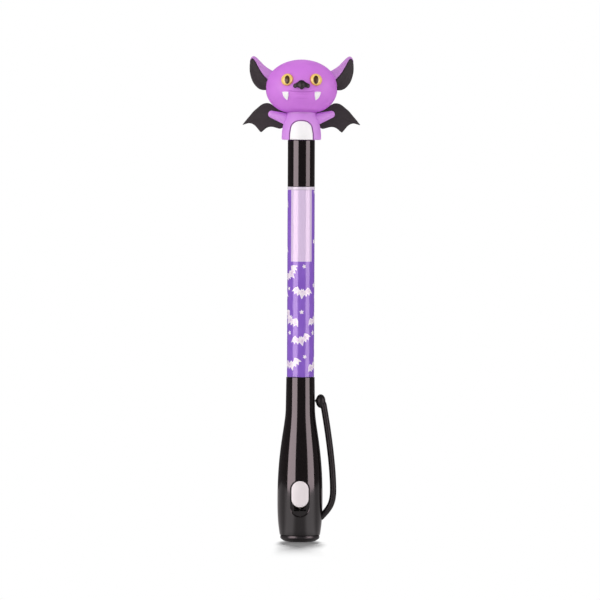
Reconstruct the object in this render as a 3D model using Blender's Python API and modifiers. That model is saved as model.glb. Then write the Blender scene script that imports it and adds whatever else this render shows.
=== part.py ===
"""Invisible ink pen with a bat on its tail and an ultraviolet light in its cap.

The pen stands on the light end of its cap, as it does in the photograph. The origin is the centre
of the face that it stands on, +Z runs up the pen, the switch and the bat look towards -Y, and the
pocket clip is on the +X side. A piece named left is on the -X side.

Five bodies move against each other, and each hangs on an empty at its joint:
the light module, the cap that slides up off it, the switch and the clip on the cap, and the pen.

Lengths are in metres. The sizes below are written in millimetres and turned into metres by MM.
"""

import math

import bmesh
import bpy
from mathutils import Matrix, Vector

MM = 0.001

# Clearances and fineness
FIT = 0.3 * MM              # gap between a piece and the one that it seats on or runs in
MERGE = 0.00001             # merge distance of the modelling tools
FINE_STEPS = 40             # sides of the large turned pieces
COARSE_STEPS = 24           # sides of the small turned pieces
SHARP_ANGLE = math.radians(35)
FLAT_ANGLE = math.radians(0.5)  # neighbouring faces flatter than this become one

# Light module: the bezel that the pen stands on, the light and its three button cells
BEZEL_RADIUS = 7.1 * MM
BEZEL_HEIGHT = 2.1 * MM
BEZEL_ROUNDING = 1.5 * MM
BEZEL_FACE = 1.5 * MM       # thickness of the plate round the light
BEZEL_WALL = 0.9 * MM
SPIGOT_LENGTH = 3.9 * MM    # how far the bezel's wall goes into the cap
LIGHT_RADIUS = 2.5 * MM
LIGHT_LENGTH = 8.6 * MM
LIGHT_FLANGE_RADIUS = 2.9 * MM
LIGHT_FLANGE_HEIGHT = 1.0 * MM
LIGHT_RECESS = 0.6 * MM     # tip of the dome above the standing face
LEAD_PITCH = 2.54 * MM
LEAD_RADIUS = 0.2 * MM
LEAD_ROOM = 1.8 * MM        # space for the leads above the light
CELL_COUNT = 3
CELL_RADIUS = 3.95 * MM
CELL_HEIGHT = 3.6 * MM
CELL_SHOULDER = 0.65 * MM   # step between the can's rim and the smaller contact face
CELL_EDGE = 0.2 * MM
CELL_SET_BACK = 0.9 * MM    # the cells stand behind the pen's axis, to leave room for the switch
CRADLE_FLOOR = 0.8 * MM
CRADLE_RIM = 1.0 * MM       # how far the cradle rises above the top cell
CRADLE_WALL = 0.8 * MM
CONTACT_SHEET = 0.4 * MM
CONTACT_WIDTH = 2.4 * MM
CONTACT_REACH = 3.0 * MM    # how far the upper contact lies over the top cell
NEGATIVE_DISC_RADIUS = 3.2 * MM
HEADROOM = 0.3 * MM         # between the cradle's rim and the cap's bulkhead

# Cap: a bulb below, a neck above, a wall between the light and the pen's nose
CAP_MOUTH_RADIUS = 5.13 * MM
CAP_NECK_RADIUS = 5.3 * MM
CAP_NECK_LENGTH = 11.1 * MM
CAP_BULB_RADIUS = 8.15 * MM
CAP_BULB_HEIGHT = 14.0 * MM  # widest level above the cap's foot
CAP_FOOT_RADIUS = 7.25 * MM
CAP_NECK_EASE = 0.2         # how long the curve stays at the neck's width, as a share of its height
CAP_BULB_EASE = 0.55        # how long it stays at the bulb's width
CAP_FOOT_CURVE = 3.0        # exponent of the curve below the bulb
CAP_BORE_RADIUS = 4.35 * MM
CAVITY_RADIUS = 6.3 * MM
CAVITY_FLAT = 5.6 * MM      # the cavity's flat front, which the switch slides on
BULKHEAD = 1.5 * MM
INNER_CAP_FLOOR = 0.8 * MM
INNER_CAP_WALL = 0.8 * MM
INNER_CAP_LIP = 1.4 * MM    # height of the lip that seals round the nose
NIB_ROOM = 1.6 * MM

# Switch: an oval button in a longer oval track, on a stem through the cap's wall
SWITCH_HEIGHT = 15.0 * MM   # centre of the button above the cap's foot, with the light off
BUTTON_WIDTH = 6.15 * MM
BUTTON_LENGTH = 9.4 * MM
BUTTON_PROUD = 0.8 * MM
BUTTON_ROUNDING = 0.3 * MM
TRACK_DEPTH = 0.9 * MM
SWITCH_TRAVEL = 3.2 * MM
STEM_WIDTH = 3.7 * MM
STEM_LENGTH = 5.2 * MM
KEEPER_WIDTH = 5.2 * MM
KEEPER_LENGTH = 6.5 * MM
KEEPER_THICKNESS = 0.55 * MM
WIPER_WIDTH = 3.0 * MM
WIPER_LENGTH = 4.0 * MM
SWITCH_GAP = 0.7 * MM       # open length of the circuit between the lead and the upper contact

# Clip: a round arm from the bulb's side up to a ball on the neck
CLIP_THICKNESS = 2.25 * MM
CLIP_BREADTH = 3.2 * MM
CLIP_STAND_OFF = 2.75 * MM  # clear space between the bulb and the arm
CLIP_ROOT_HEIGHT = 5.8 * MM  # middle of the foot above the cap's foot
CLIP_BEND_HEIGHT = 16.0 * MM  # outermost level of the arm above the cap's foot
CLIP_BALL_RADIUS = 1.75 * MM
CLIP_BALL_HALF_HEIGHT = 2.5 * MM
CLIP_BALL_DROP = 8.7 * MM   # middle of the ball below the cap's mouth
CLIP_FOOT_EASE = 0.33       # how long the arm keeps its foot's slope, as a share of the way to the bend
CLIP_BEND_EASE = 0.5        # how long it stands upright below the bend
CLIP_ARM_EASE = 0.25        # how long above it, as a share of the way to the ball
CLIP_TIP_EASE = 0.33        # how long it runs straight into the ball
CLIP_TIP_LEAN = 0.19        # slope of that run towards the neck

# Pen: a barrel with a printed sleeve, a fibre reservoir, a nose with a bullet nib, a black tail
NIB_RADIUS = 0.75 * MM
NIB_EXPOSED = 4.5 * MM
NOSE_LENGTH = 10.8 * MM
NOSE_TIP_RADIUS = 1.5 * MM
NOSE_BASE_RADIUS = 2.6 * MM
NOSE_FLANGE = 0.4 * MM
NOSE_SPIGOT = 6.0 * MM
FRONT_LENGTH = 13.8 * MM    # thin front of the barrel, which goes into the cap
BARREL_BORE_RADIUS = 3.3 * MM
SLEEVE_RADIUS = 4.9 * MM
SLEEVE_THICKNESS = 0.3 * MM
SLEEVE_LENGTH = 66.8 * MM
COLLAR_RADIUS = 4.95 * MM
COLLAR_HEIGHT = 0.8 * MM
TAIL_RADIUS = 4.9 * MM
TAIL_LENGTH = 16.8 * MM
TAIL_EDGE = 0.25 * MM
TAIL_SPIGOT = 8.0 * MM
TAIL_BORE_RADIUS = 2.1 * MM
TAIL_PEG_RADIUS = 3.0 * MM
TAIL_PEG_LENGTH = 7.5 * MM
TAIL_PEG_END = 2.0 * MM     # solid end of the peg above the bore

# Bat: body and limbs
TORSO_HEIGHT = 9.0 * MM
TORSO_WAIST_RADIUS = 7.1 * MM
TORSO_SHOULDER_RADIUS = 5.2 * MM
TORSO_ROUNDING = 0.5 * MM
TORSO_SHAPE = 0.86          # depth of the body as a share of its width
NECK_PEG_RADIUS = 2.8 * MM
NECK_PEG_LENGTH = 4.0 * MM
BELLY_BASE = 3.85 * MM      # half the width of the belly's patch at the bottom
BELLY_SHOULDER = 3.5 * MM
BELLY_SHOULDER_HEIGHT = 4.1 * MM
BELLY_HEIGHT = 6.6 * MM
BELLY_THICKNESS = 0.9 * MM
ARM_SHOULDER_RADIUS = 1.8 * MM
ARM_HAND_RADIUS = 1.3 * MM
ARM_SHOULDER_OUT = 5.8 * MM
ARM_SHOULDER_DROP = 1.8 * MM  # shoulder's centre below the top of the body
ARM_HAND_OUT = 10.7 * MM
ARM_HAND_DROP = 0.1 * MM
WING_THICKNESS = 1.6 * MM
WING_ROUNDING = 0.35 * MM
WING_SWEEP = math.radians(10)

# Bat: head
HEAD_HALF_WIDTH = 12.9 * MM
HEAD_SHAPE = 0.775          # depth of the head as a share of its width
HEAD_UPPER = 10.0 * MM      # crown above the widest level
HEAD_LOWER = 9.3 * MM       # chin below the widest level
HEAD_UPPER_POWER = 2.0      # 2 is an ellipse, more is squarer
HEAD_LOWER_POWER = 2.3
EAR_DEPTH = 3.8 * MM
EAR_ROUNDING = 0.6 * MM
INNER_EAR_DEPTH = 0.9 * MM
INNER_EAR_SUNK = 0.2 * MM
EYE_RADIUS = 2.25 * MM
EYE_HEIGHT = 1.1 * MM       # dome of the eye above the face
EYE_OUT = 5.15 * MM
EYE_UP = 2.6 * MM
PUPIL_HALF_WIDTH = 0.9 * MM
PUPIL_HALF_HEIGHT = 1.5 * MM
PUPIL_HEIGHT = 0.75 * MM
NOSE_PROUD = 1.3 * MM
FANG_PROUD = 0.9 * MM

# Heights of the light module, from the standing face up
LIGHT_TOP_Z = LIGHT_RECESS + LIGHT_LENGTH
LIGHT_SEAT_Z = LIGHT_TOP_Z - LIGHT_FLANGE_HEIGHT - FIT
SPIGOT_TOP_Z = BEZEL_HEIGHT + SPIGOT_LENGTH
CRADLE_BASE_Z = SPIGOT_TOP_Z + FIT
CRADLE_FLOOR_Z = LIGHT_TOP_Z + LEAD_ROOM
CRADLE_SEAT_Z = CRADLE_FLOOR_Z + CRADLE_FLOOR
NEGATIVE_DISC_Z = CRADLE_SEAT_Z + FIT
CELLS_Z = NEGATIVE_DISC_Z + CONTACT_SHEET + FIT
CELL_PITCH = CELL_HEIGHT + FIT
CELLS_TOP_Z = CELLS_Z + CELL_COUNT * CELL_PITCH - FIT
POSITIVE_SHEET_Z = CELLS_TOP_Z + FIT
CRADLE_TOP_Z = CELLS_TOP_Z + CRADLE_RIM
CAVITY_TOP_Z = CRADLE_TOP_Z + HEADROOM

# Heights of the cap and the pen
CAP_FOOT_Z = BEZEL_HEIGHT + FIT
BORE_FLOOR_Z = CAVITY_TOP_Z + BULKHEAD
INNER_CAP_Z = BORE_FLOOR_Z + FIT
NIB_TIP_Z = INNER_CAP_Z + INNER_CAP_FLOOR + NIB_ROOM
NOSE_TIP_Z = NIB_TIP_Z + NIB_EXPOSED
NOSE_BASE_Z = NOSE_TIP_Z + NOSE_LENGTH
INNER_CAP_TOP_Z = NOSE_BASE_Z - FIT
NOSE_SEAT_Z = NOSE_BASE_Z + NOSE_FLANGE
BARREL_FRONT_Z = NOSE_SEAT_Z + FIT
SLEEVE_Z = BARREL_FRONT_Z + FRONT_LENGTH
CAP_MOUTH_Z = SLEEVE_Z - FIT
CAP_NECK_Z = CAP_MOUTH_Z - CAP_NECK_LENGTH
CAP_BULB_Z = CAP_FOOT_Z + CAP_BULB_HEIGHT
COLLAR_Z = SLEEVE_Z + SLEEVE_LENGTH + FIT
COLLAR_TOP_Z = COLLAR_Z + COLLAR_HEIGHT
TAIL_Z = COLLAR_TOP_Z + FIT
TAIL_TOP_Z = TAIL_Z + TAIL_LENGTH
TORSO_Z = TAIL_TOP_Z + FIT
TORSO_TOP_Z = TORSO_Z + TORSO_HEIGHT
HEAD_BASE_Z = TORSO_TOP_Z + FIT
HEAD_Z = HEAD_BASE_Z + HEAD_LOWER

# Radii and depths that follow from the sizes above
LIGHT_BORE_RADIUS = LIGHT_RADIUS + FIT
SPIGOT_RADIUS = CAVITY_RADIUS - FIT
FRONT_RADIUS = CAP_BORE_RADIUS - FIT
INNER_CAP_RADIUS = CAP_BORE_RADIUS - FIT
BARREL_RADIUS = SLEEVE_RADIUS - SLEEVE_THICKNESS - FIT
PLUG_RADIUS = BARREL_BORE_RADIUS - FIT
NIB_BORE_RADIUS = NIB_RADIUS + FIT
CRADLE_FLAT = CAVITY_FLAT - FIT
CRADLE_FRONT = CELL_RADIUS - CELL_SET_BACK     # front of the cells, which the cradle leaves open
TRACK_FLOOR = CAP_BULB_RADIUS - TRACK_DEPTH
KEEPER_FRONT = CAVITY_FLAT - FIT
WIPER_FRONT = KEEPER_FRONT - KEEPER_THICKNESS - FIT
POSITIVE_FRONT = WIPER_FRONT - CONTACT_SHEET - FIT
HEAD_SET_BACK = HEAD_SHAPE * (NOSE_PROUD + FIT) / 2  # centres head and nose on the pen's axis

# Levels of the switch and its circuit
SWITCH_Z = CAP_FOOT_Z + SWITCH_HEIGHT
TRACK_LENGTH = BUTTON_LENGTH + SWITCH_TRAVEL + 2 * FIT
TRACK_Z = SWITCH_Z - SWITCH_TRAVEL / 2
WIPER_FOOT_Z = SWITCH_Z - WIPER_LENGTH / 2
LEAD_END_Z = WIPER_FOOT_Z - SWITCH_GAP
POSITIVE_END_Z = WIPER_FOOT_Z - FIT

# Outlines of the bat's flat pieces, as (x, z, kind) for the right side in millimetres.
# Ears are measured from the side of the head at its widest level, wings from the top of the body.
SMOOTH = "AUTO"
CORNER = "VECTOR"
EAR_OUTLINE = (
    (4.5, 11.15, SMOOTH), (5.3, 10.5, SMOOTH), (5.75, 8.0, SMOOTH), (5.4, 4.2, SMOOTH),
    (4.2, 1.2, SMOOTH), (1.8, -0.7, SMOOTH), (-3.4, 0.0, CORNER), (-3.6, 5.2, CORNER),
    (0.1, 7.5, SMOOTH), (2.3, 9.65, SMOOTH), (3.6, 10.85, SMOOTH),
)
INNER_EAR_OUTLINE = (
    (4.75, 10.1, SMOOTH), (5.4, 9.5, SMOOTH), (5.8, 7.4, SMOOTH), (5.4, 3.9, SMOOTH),
    (4.0, 0.9, SMOOTH), (1.7, -0.9, SMOOTH), (-1.4, -0.9, CORNER), (-1.4, 2.0, CORNER),
    (1.0, 4.35, SMOOTH), (3.0, 7.5, SMOOTH), (4.2, 9.6, SMOOTH),
)
WING_OUTLINE = (
    (4.0, 1.6, CORNER), (9.4, 2.3, SMOOTH), (13.2, 4.0, SMOOTH), (16.9, 2.0, SMOOTH),
    (19.9, -1.2, SMOOTH), (22.2, -3.9, CORNER), (18.9, -3.4, SMOOTH), (15.3, -6.6, CORNER),
    (12.5, -4.7, SMOOTH), (8.3, -5.3, CORNER), (4.0, -3.6, CORNER),
)
NOSE_OUTLINE = (
    (0.0, 2.45, SMOOTH), (1.2, 1.9, SMOOTH), (2.75, 1.1, SMOOTH), (2.85, -0.15, SMOOTH),
    (1.5, -0.05, SMOOTH), (0.0, -0.95, SMOOTH), (-1.5, -0.05, SMOOTH), (-2.85, -0.15, SMOOTH),
    (-2.75, 1.1, SMOOTH), (-1.2, 1.9, SMOOTH),
)
FANG_OUTLINE = (
    (4.7, -1.75, CORNER), (5.85, -1.65, SMOOTH), (7.0, -1.75, CORNER), (6.3, -3.65, SMOOTH),
    (5.05, -4.8, CORNER), (4.72, -3.3, SMOOTH),
)

SIDES = (("left", -1), ("right", 1))

COLOURS = {
    "black_gloss": ((0.012, 0.010, 0.011), 0.18, 0.0),
    "black_matte": ((0.045, 0.043, 0.045), 0.55, 0.0),
    "white_plastic": ((0.80, 0.74, 0.77), 0.35, 0.0),
    "purple_rubber": ((0.58, 0.20, 0.72), 0.55, 0.0),
    "purple_film": ((0.27, 0.12, 0.60), 0.30, 0.0),
    "yellow_paint": ((0.93, 0.62, 0.14), 0.40, 0.0),
    "brown_paint": ((0.06, 0.03, 0.02), 0.35, 0.0),
    "white_paint": ((0.93, 0.92, 0.91), 0.45, 0.0),
    "light_lens": ((0.72, 0.74, 0.86), 0.08, 0.0),
    "nickel": ((0.72, 0.70, 0.66), 0.28, 1.0),
    "brass": ((0.80, 0.60, 0.30), 0.30, 1.0),
    "fibre": ((0.86, 0.85, 0.80), 0.90, 0.0),
}


def clear_scene():
    """Remove every object that the file opened with."""
    for thing in list(bpy.data.objects):
        bpy.data.objects.remove(thing, do_unlink=True)


def new_collection(name):
    """A collection of the scene, for the parts or for their cutters."""
    collection = bpy.data.collections.new(name)
    bpy.context.scene.collection.children.link(collection)
    return collection


def make_material(name):
    """A Principled material with the colour, roughness and metal value listed under its name."""
    colour, roughness, metal = COLOURS[name]
    material = bpy.data.materials.get(name) or bpy.data.materials.new(name)
    material.use_nodes = True
    shader = material.node_tree.nodes["Principled BSDF"]
    shader.inputs["Base Color"].default_value = (*colour, 1.0)
    shader.inputs["Roughness"].default_value = roughness
    shader.inputs["Metallic"].default_value = metal
    material.diffuse_color = (*colour, 1.0)
    return material


def add_part(name, mesh, colour):
    """Link a mesh as a named part with its own material, shaded smooth between its sharp edges."""
    mesh.shade_smooth()
    mesh.set_sharp_from_angle(angle=SHARP_ANGLE)
    mesh.materials.clear()
    mesh.materials.append(make_material(colour))
    part = bpy.data.objects.new(name, mesh)
    bpy.data.collections["invisible_ink_pen"].objects.link(part)
    return part


def as_cutter(part):
    """Move an object to the cutters, where it shapes others and isn't part of the pen."""
    bpy.data.collections["invisible_ink_pen"].objects.unlink(part)
    bpy.data.collections["cutters"].objects.link(part)
    part.display_type = "WIRE"
    part.hide_render = True
    return part


def combine(part, operation, *tools):
    """Cut, join or clip a part with each tool in turn, and keep the tools as cutters."""
    for tool in tools:
        if tool.name in bpy.data.collections["invisible_ink_pen"].objects:
            as_cutter(tool)
        boolean = part.modifiers.new(tool.name, "BOOLEAN")
        boolean.operation = operation
        boolean.object = tool
    return part


def mesh_of(source, name):
    """The evaluated mesh of an object, welded, flat faces joined, all pointing out. The object goes."""
    bpy.context.view_layer.update()
    graph = bpy.context.evaluated_depsgraph_get()
    mesh = bpy.data.meshes.new_from_object(source.evaluated_get(graph))
    mesh.name = name
    form = bmesh.new()
    form.from_mesh(mesh)
    bmesh.ops.remove_doubles(form, verts=form.verts, dist=MERGE)
    bmesh.ops.dissolve_limit(form, angle_limit=FLAT_ANGLE, verts=form.verts, edges=form.edges)
    bmesh.ops.recalc_face_normals(form, faces=form.faces)
    form.to_mesh(mesh)
    form.free()
    mesh.transform(source.matrix_world)
    data = source.data
    bpy.data.objects.remove(source, do_unlink=True)
    if isinstance(data, bpy.types.Curve):
        bpy.data.curves.remove(data)
    else:
        bpy.data.meshes.remove(data)
    return mesh


def turned(name, profile, colour, steps=FINE_STEPS, shape=1.0):
    """A solid turned about Z from (radius, z) pairs that run down its outer side.

    A profile that leaves the axis free is closed into a ring. The shape is the depth along Y as a
    share of the width.
    """
    form = bmesh.new()
    corners = [form.verts.new((radius, 0, z)) for radius, z in profile]
    for first, second in zip(corners, corners[1:]):
        form.edges.new((first, second))
    if profile[0][0] > 0:
        form.edges.new((corners[-1], corners[0]))
    outline = bpy.data.meshes.new(name)
    form.to_mesh(outline)
    form.free()
    source = bpy.data.objects.new(name + "_profile", outline)
    bpy.context.scene.collection.objects.link(source)
    source.scale.y = shape
    screw = source.modifiers.new("Screw", "SCREW")
    screw.steps = steps
    screw.render_steps = steps
    screw.use_merge_vertices = True
    screw.merge_threshold = MERGE
    return add_part(name, mesh_of(source, name), colour)


def rod(name, radius, bottom, top, colour, centre=(0, 0), steps=COARSE_STEPS, flat=None):
    """An upright cylinder from bottom to top. With flat, its front is cut off at that distance."""
    form = bmesh.new()
    place = Matrix.Translation((0, 0, (bottom + top) / 2))
    bmesh.ops.create_cone(form, cap_ends=True, segments=steps, radius1=radius, radius2=radius,
                          depth=top - bottom, matrix=place)
    if flat is not None:
        for corner in form.verts:
            corner.co.y = max(corner.co.y, -flat)
    bmesh.ops.translate(form, verts=form.verts, vec=(*centre, 0))
    mesh = bpy.data.meshes.new(name)
    form.to_mesh(mesh)
    form.free()
    return add_part(name, mesh, colour)


def box(name, low, high, colour):
    """A box between two opposite corners."""
    low = Vector(low)
    high = Vector(high)
    form = bmesh.new()
    place = Matrix.Translation((low + high) / 2) @ Matrix.Diagonal((*(high - low), 1))
    bmesh.ops.create_cube(form, size=1, matrix=place)
    mesh = bpy.data.meshes.new(name)
    form.to_mesh(mesh)
    form.free()
    return add_part(name, mesh, colour)


def ellipsoid(name, radii, place, colour, steps=COARSE_STEPS):
    """An ellipsoid with the given radii, moved and turned by the matrix place."""
    form = bmesh.new()
    bmesh.ops.create_uvsphere(form, u_segments=steps, v_segments=steps // 2, radius=1,
                              matrix=place @ Matrix.Diagonal((*radii, 1)))
    mesh = bpy.data.meshes.new(name)
    form.to_mesh(mesh)
    form.free()
    return add_part(name, mesh, colour)


def plate(name, outline, front, back, colour, grow=0.0, fineness=3):
    """An upright plate between two depths along Y, from (x, z, kind) points of its outline.

    A smooth point is rounded through, a corner isn't. Grow moves the outline outwards.
    """
    curve = bpy.data.curves.new(name, "CURVE")
    curve.dimensions = "2D"
    curve.fill_mode = "BOTH"
    curve.extrude = (back - front) / 2
    curve.offset = grow
    curve.resolution_u = fineness
    curve.render_resolution_u = 0
    spline = curve.splines.new("BEZIER")
    spline.bezier_points.add(len(outline) - 1)
    spline.use_cyclic_u = True
    for point, (x, z, kind) in zip(spline.bezier_points, outline):
        point.co = (x, z, 0)
        point.handle_left_type = kind
        point.handle_right_type = kind
    source = bpy.data.objects.new(name + "_outline", curve)
    bpy.context.scene.collection.objects.link(source)
    source.location.y = (front + back) / 2
    source.rotation_euler.x = math.pi / 2
    return add_part(name, mesh_of(source, name), colour)


def round_edges(part, width, segments=2):
    """Round a part's sharp edges."""
    bevel = part.modifiers.new("Rounded edges", "BEVEL")
    bevel.width = width
    bevel.segments = segments
    bevel.limit_method = "ANGLE"
    bevel.angle_limit = math.radians(40)
    return part


def arc(centre, radius, start, end, count):
    """Points on an arc of a profile, both ends included. Angles are in degrees from +X to +Z."""
    turn = [math.radians(start + (end - start) * step / count) for step in range(count + 1)]
    return [(centre[0] + radius * math.cos(a), centre[1] + radius * math.sin(a)) for a in turn]


def bezier(start, leave, arrive, end, count):
    """Points of a cubic Bezier curve of a profile, both ends included."""
    points = []
    for step in range(count + 1):
        t = step / count
        weights = ((1 - t) ** 3, 3 * t * (1 - t) ** 2, 3 * t * t * (1 - t), t ** 3)
        places = (start, leave, arrive, end)
        points.append(tuple(sum(w * p[i] for w, p in zip(weights, places)) for i in (0, 1)))
    return points


def stadium(width, length, level):
    """Outline of an upright oval with straight sides, as (x, z, kind) points round its centre."""
    radius = width / 2
    run = length / 2 - radius
    upper = arc((0, level + run), radius, 0, 180, 8)
    lower = arc((0, level - run), radius, 180, 360, 8)
    return [(x, z, CORNER) for x, z in upper + lower]


def placed(outline, side, out=0.0, up=0.0):
    """Scale an outline from millimetres and move it to its side of the bat."""
    return [(side * (x * MM + out), z * MM + up, kind) for x, z, kind in outline]


# Light module

def make_end_bezel():
    """The ring that the pen stands on, with a wall that plugs the cap and a tube for the light."""
    tube_radius = LIGHT_BORE_RADIUS + BEZEL_WALL
    rounding = arc((BEZEL_RADIUS - BEZEL_ROUNDING, BEZEL_ROUNDING), BEZEL_ROUNDING, 0, -90, 6)
    profile = [
        (LIGHT_BORE_RADIUS, LIGHT_SEAT_Z),
        (tube_radius, LIGHT_SEAT_Z),
        (tube_radius, BEZEL_FACE),
        (SPIGOT_RADIUS - BEZEL_WALL, BEZEL_FACE),
        (SPIGOT_RADIUS - BEZEL_WALL, SPIGOT_TOP_Z),
        (SPIGOT_RADIUS, SPIGOT_TOP_Z),
        (SPIGOT_RADIUS, BEZEL_HEIGHT),
        (BEZEL_RADIUS, BEZEL_HEIGHT),
        *rounding,
        (LIGHT_BORE_RADIUS, 0),
    ]
    return turned("end_bezel", profile, "black_gloss")


def make_light():
    """The round-nosed light, with its dome down and its flange on the bezel's tube."""
    flange_z = LIGHT_TOP_Z - LIGHT_FLANGE_HEIGHT
    dome = arc((0, LIGHT_RECESS + LIGHT_RADIUS), LIGHT_RADIUS, 0, -90, 5)
    dome[-1] = (0, LIGHT_RECESS)
    profile = [
        (0, LIGHT_TOP_Z),
        (LIGHT_FLANGE_RADIUS, LIGHT_TOP_Z),
        (LIGHT_FLANGE_RADIUS, flange_z),
        (LIGHT_RADIUS, flange_z),
        *dome,
    ]
    return turned("uv_light", profile, "light_lens", COARSE_STEPS)


def make_light_lead():
    """The light's front lead: up, forward under the cradle's floor and up to the switch."""
    front = -(POSITIVE_FRONT - CONTACT_SHEET / 2)
    start = -LEAD_PITCH / 2
    bend_z = LIGHT_TOP_Z + LEAD_ROOM / 2
    route = (
        (0, start, LIGHT_TOP_Z + FIT),
        (0, start, bend_z),
        (0, front, bend_z),
        (0, front, LEAD_END_Z),
    )
    curve = bpy.data.curves.new("light_lead", "CURVE")
    curve.dimensions = "3D"
    curve.bevel_depth = LEAD_RADIUS
    curve.bevel_resolution = 1
    curve.render_resolution_u = 0
    curve.use_fill_caps = True
    spline = curve.splines.new("POLY")
    spline.points.add(len(route) - 1)
    for point, place in zip(spline.points, route):
        point.co = (*place, 1)
    source = bpy.data.objects.new("light_lead_route", curve)
    bpy.context.scene.collection.objects.link(source)
    return add_part("light_lead", mesh_of(source, "light_lead"), "nickel")


def make_battery_cradle():
    """The holder of the cells: flat-fronted, open towards the switch, with a skirt on the bezel."""
    centre = (0, CELL_SET_BACK)
    wide = 2 * CAVITY_RADIUS
    above = CRADLE_TOP_Z + CRADLE_RIM
    cradle = rod("battery_cradle", CAVITY_RADIUS - FIT, CRADLE_BASE_Z, CRADLE_TOP_Z, "black_matte",
                 steps=FINE_STEPS, flat=CRADLE_FLAT)
    chamber = rod("cut_light_chamber", CAVITY_RADIUS - FIT - CRADLE_WALL, CRADLE_BASE_Z - FIT,
                  CRADLE_FLOOR_Z, "black_matte", flat=CRADLE_FLAT - CRADLE_WALL)
    bore = rod("cut_cell_bore", CELL_RADIUS + FIT, CRADLE_SEAT_Z, above, "black_matte", centre)
    front = box("cut_cradle_front", (-wide, -wide, LIGHT_TOP_Z + FIT),
                (wide, -CRADLE_FRONT, above), "black_matte")
    hole = rod("cut_lead_hole", LEAD_RADIUS + FIT, CRADLE_BASE_Z, above, "black_matte",
               (0, LEAD_PITCH / 2), steps=12)
    return combine(cradle, "DIFFERENCE", chamber, bore, front, hole)


def make_cell(number):
    """One button cell, its smaller contact face down."""
    bottom = CELLS_Z + (number - 1) * CELL_PITCH
    top = bottom + CELL_HEIGHT
    profile = [
        (0, top),
        (CELL_RADIUS - CELL_EDGE, top),
        (CELL_RADIUS, top - CELL_EDGE),
        (CELL_RADIUS, bottom + CELL_SHOULDER),
        (CELL_RADIUS - CELL_SHOULDER, bottom + CELL_EDGE),
        (CELL_RADIUS - CELL_SHOULDER, bottom),
        (0, bottom),
    ]
    cell = turned(f"button_cell_{number}", profile, "nickel", COARSE_STEPS)
    cell.location.y = CELL_SET_BACK
    return cell


def make_negative_contact():
    """The disc under the bottom cell, with a leg down to the light."""
    top = NEGATIVE_DISC_Z + CONTACT_SHEET
    disc = rod("negative_contact", NEGATIVE_DISC_RADIUS, NEGATIVE_DISC_Z, top, "brass",
               (0, CELL_SET_BACK))
    leg = rod("join_negative_leg", LEAD_RADIUS, LIGHT_TOP_Z + FIT, top - CONTACT_SHEET / 2, "brass",
              (0, LEAD_PITCH / 2), steps=8)
    return combine(disc, "UNION", leg)


def make_positive_contact():
    """The strip over the top cell and down the front of the stack, as far as the switch."""
    half = CONTACT_WIDTH / 2
    top = POSITIVE_SHEET_Z + CONTACT_SHEET
    back = -(POSITIVE_FRONT - CONTACT_SHEET)
    strip = box("positive_contact", (-half, -POSITIVE_FRONT, POSITIVE_END_Z), (half, back, top),
                "brass")
    arm = box("join_positive_arm", (-half, -POSITIVE_FRONT, POSITIVE_SHEET_Z),
              (half, CONTACT_REACH, top), "brass")
    return combine(strip, "UNION", arm)


def make_light_module():
    """Every piece that stays below when the cap is pulled up off the light."""
    cells = [make_cell(number + 1) for number in range(CELL_COUNT)]
    return [make_end_bezel(), make_light(), make_light_lead(), make_battery_cradle(), *cells,
            make_negative_contact(), make_positive_contact()]


# Cap

def cap_side(grow=0.0):
    """Outer side of the cap from its mouth down to its foot, as (radius, z) pairs."""
    height = CAP_NECK_Z - CAP_BULB_Z
    shoulder = bezier(
        (CAP_NECK_RADIUS, CAP_NECK_Z),
        (CAP_NECK_RADIUS, CAP_NECK_Z - CAP_NECK_EASE * height),
        (CAP_BULB_RADIUS, CAP_BULB_Z + CAP_BULB_EASE * height),
        (CAP_BULB_RADIUS, CAP_BULB_Z),
        10,
    )
    side = [(CAP_MOUTH_RADIUS, CAP_MOUTH_Z), *shoulder]
    below = 5
    for step in range(1, below + 1):
        share = step / below
        radius = CAP_BULB_RADIUS - (CAP_BULB_RADIUS - CAP_FOOT_RADIUS) * share ** CAP_FOOT_CURVE
        side.append((radius, CAP_BULB_Z - share * CAP_BULB_HEIGHT))
    return [(radius + grow, z) for radius, z in side]


def cap_radius(level):
    """Outer radius of the cap at a level, read from its side."""
    side = cap_side()
    for (upper, top), (lower, bottom) in zip(side, side[1:]):
        if bottom <= level <= top:
            return lower + (upper - lower) * (level - bottom) / (top - bottom)
    return CAP_FOOT_RADIUS


def cap_body(name, grow):
    """A solid of the cap's outer shape, grown outwards, for cutting and clipping other pieces."""
    side = cap_side(grow)
    return turned(name, [(0, CAP_MOUTH_Z), *side, (0, CAP_FOOT_Z)], "black_gloss")


def make_cap_shell():
    """The cap: a bore for the nose above, a cavity for the light below, the switch's track."""
    profile = [(0, BORE_FLOOR_Z), (CAP_BORE_RADIUS, BORE_FLOOR_Z), (CAP_BORE_RADIUS, CAP_MOUTH_Z),
               *cap_side(), (0, CAP_FOOT_Z)]
    shell = turned("cap_shell", profile, "black_gloss")
    mouth = rod("cut_plug_bore", CAVITY_RADIUS, CAP_FOOT_Z - FIT, CRADLE_BASE_Z, "black_gloss",
                steps=FINE_STEPS)
    cavity = rod("cut_light_cavity", CAVITY_RADIUS, CRADLE_BASE_Z - FIT, CAVITY_TOP_Z, "black_gloss",
                 steps=FINE_STEPS, flat=CAVITY_FLAT)
    track = plate("cut_switch_track", stadium(BUTTON_WIDTH + 2 * FIT, TRACK_LENGTH, TRACK_Z),
                  -2 * CAP_BULB_RADIUS, -TRACK_FLOOR, "black_gloss")
    half = STEM_WIDTH / 2 + FIT
    slot = box("cut_switch_slot",
               (-half, -CAP_BULB_RADIUS, SWITCH_Z - SWITCH_TRAVEL - STEM_LENGTH / 2 - FIT),
               (half, -POSITIVE_FRONT, SWITCH_Z + STEM_LENGTH / 2 + FIT), "black_gloss")
    return combine(shell, "DIFFERENCE", mouth, cavity, track, slot)


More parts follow.
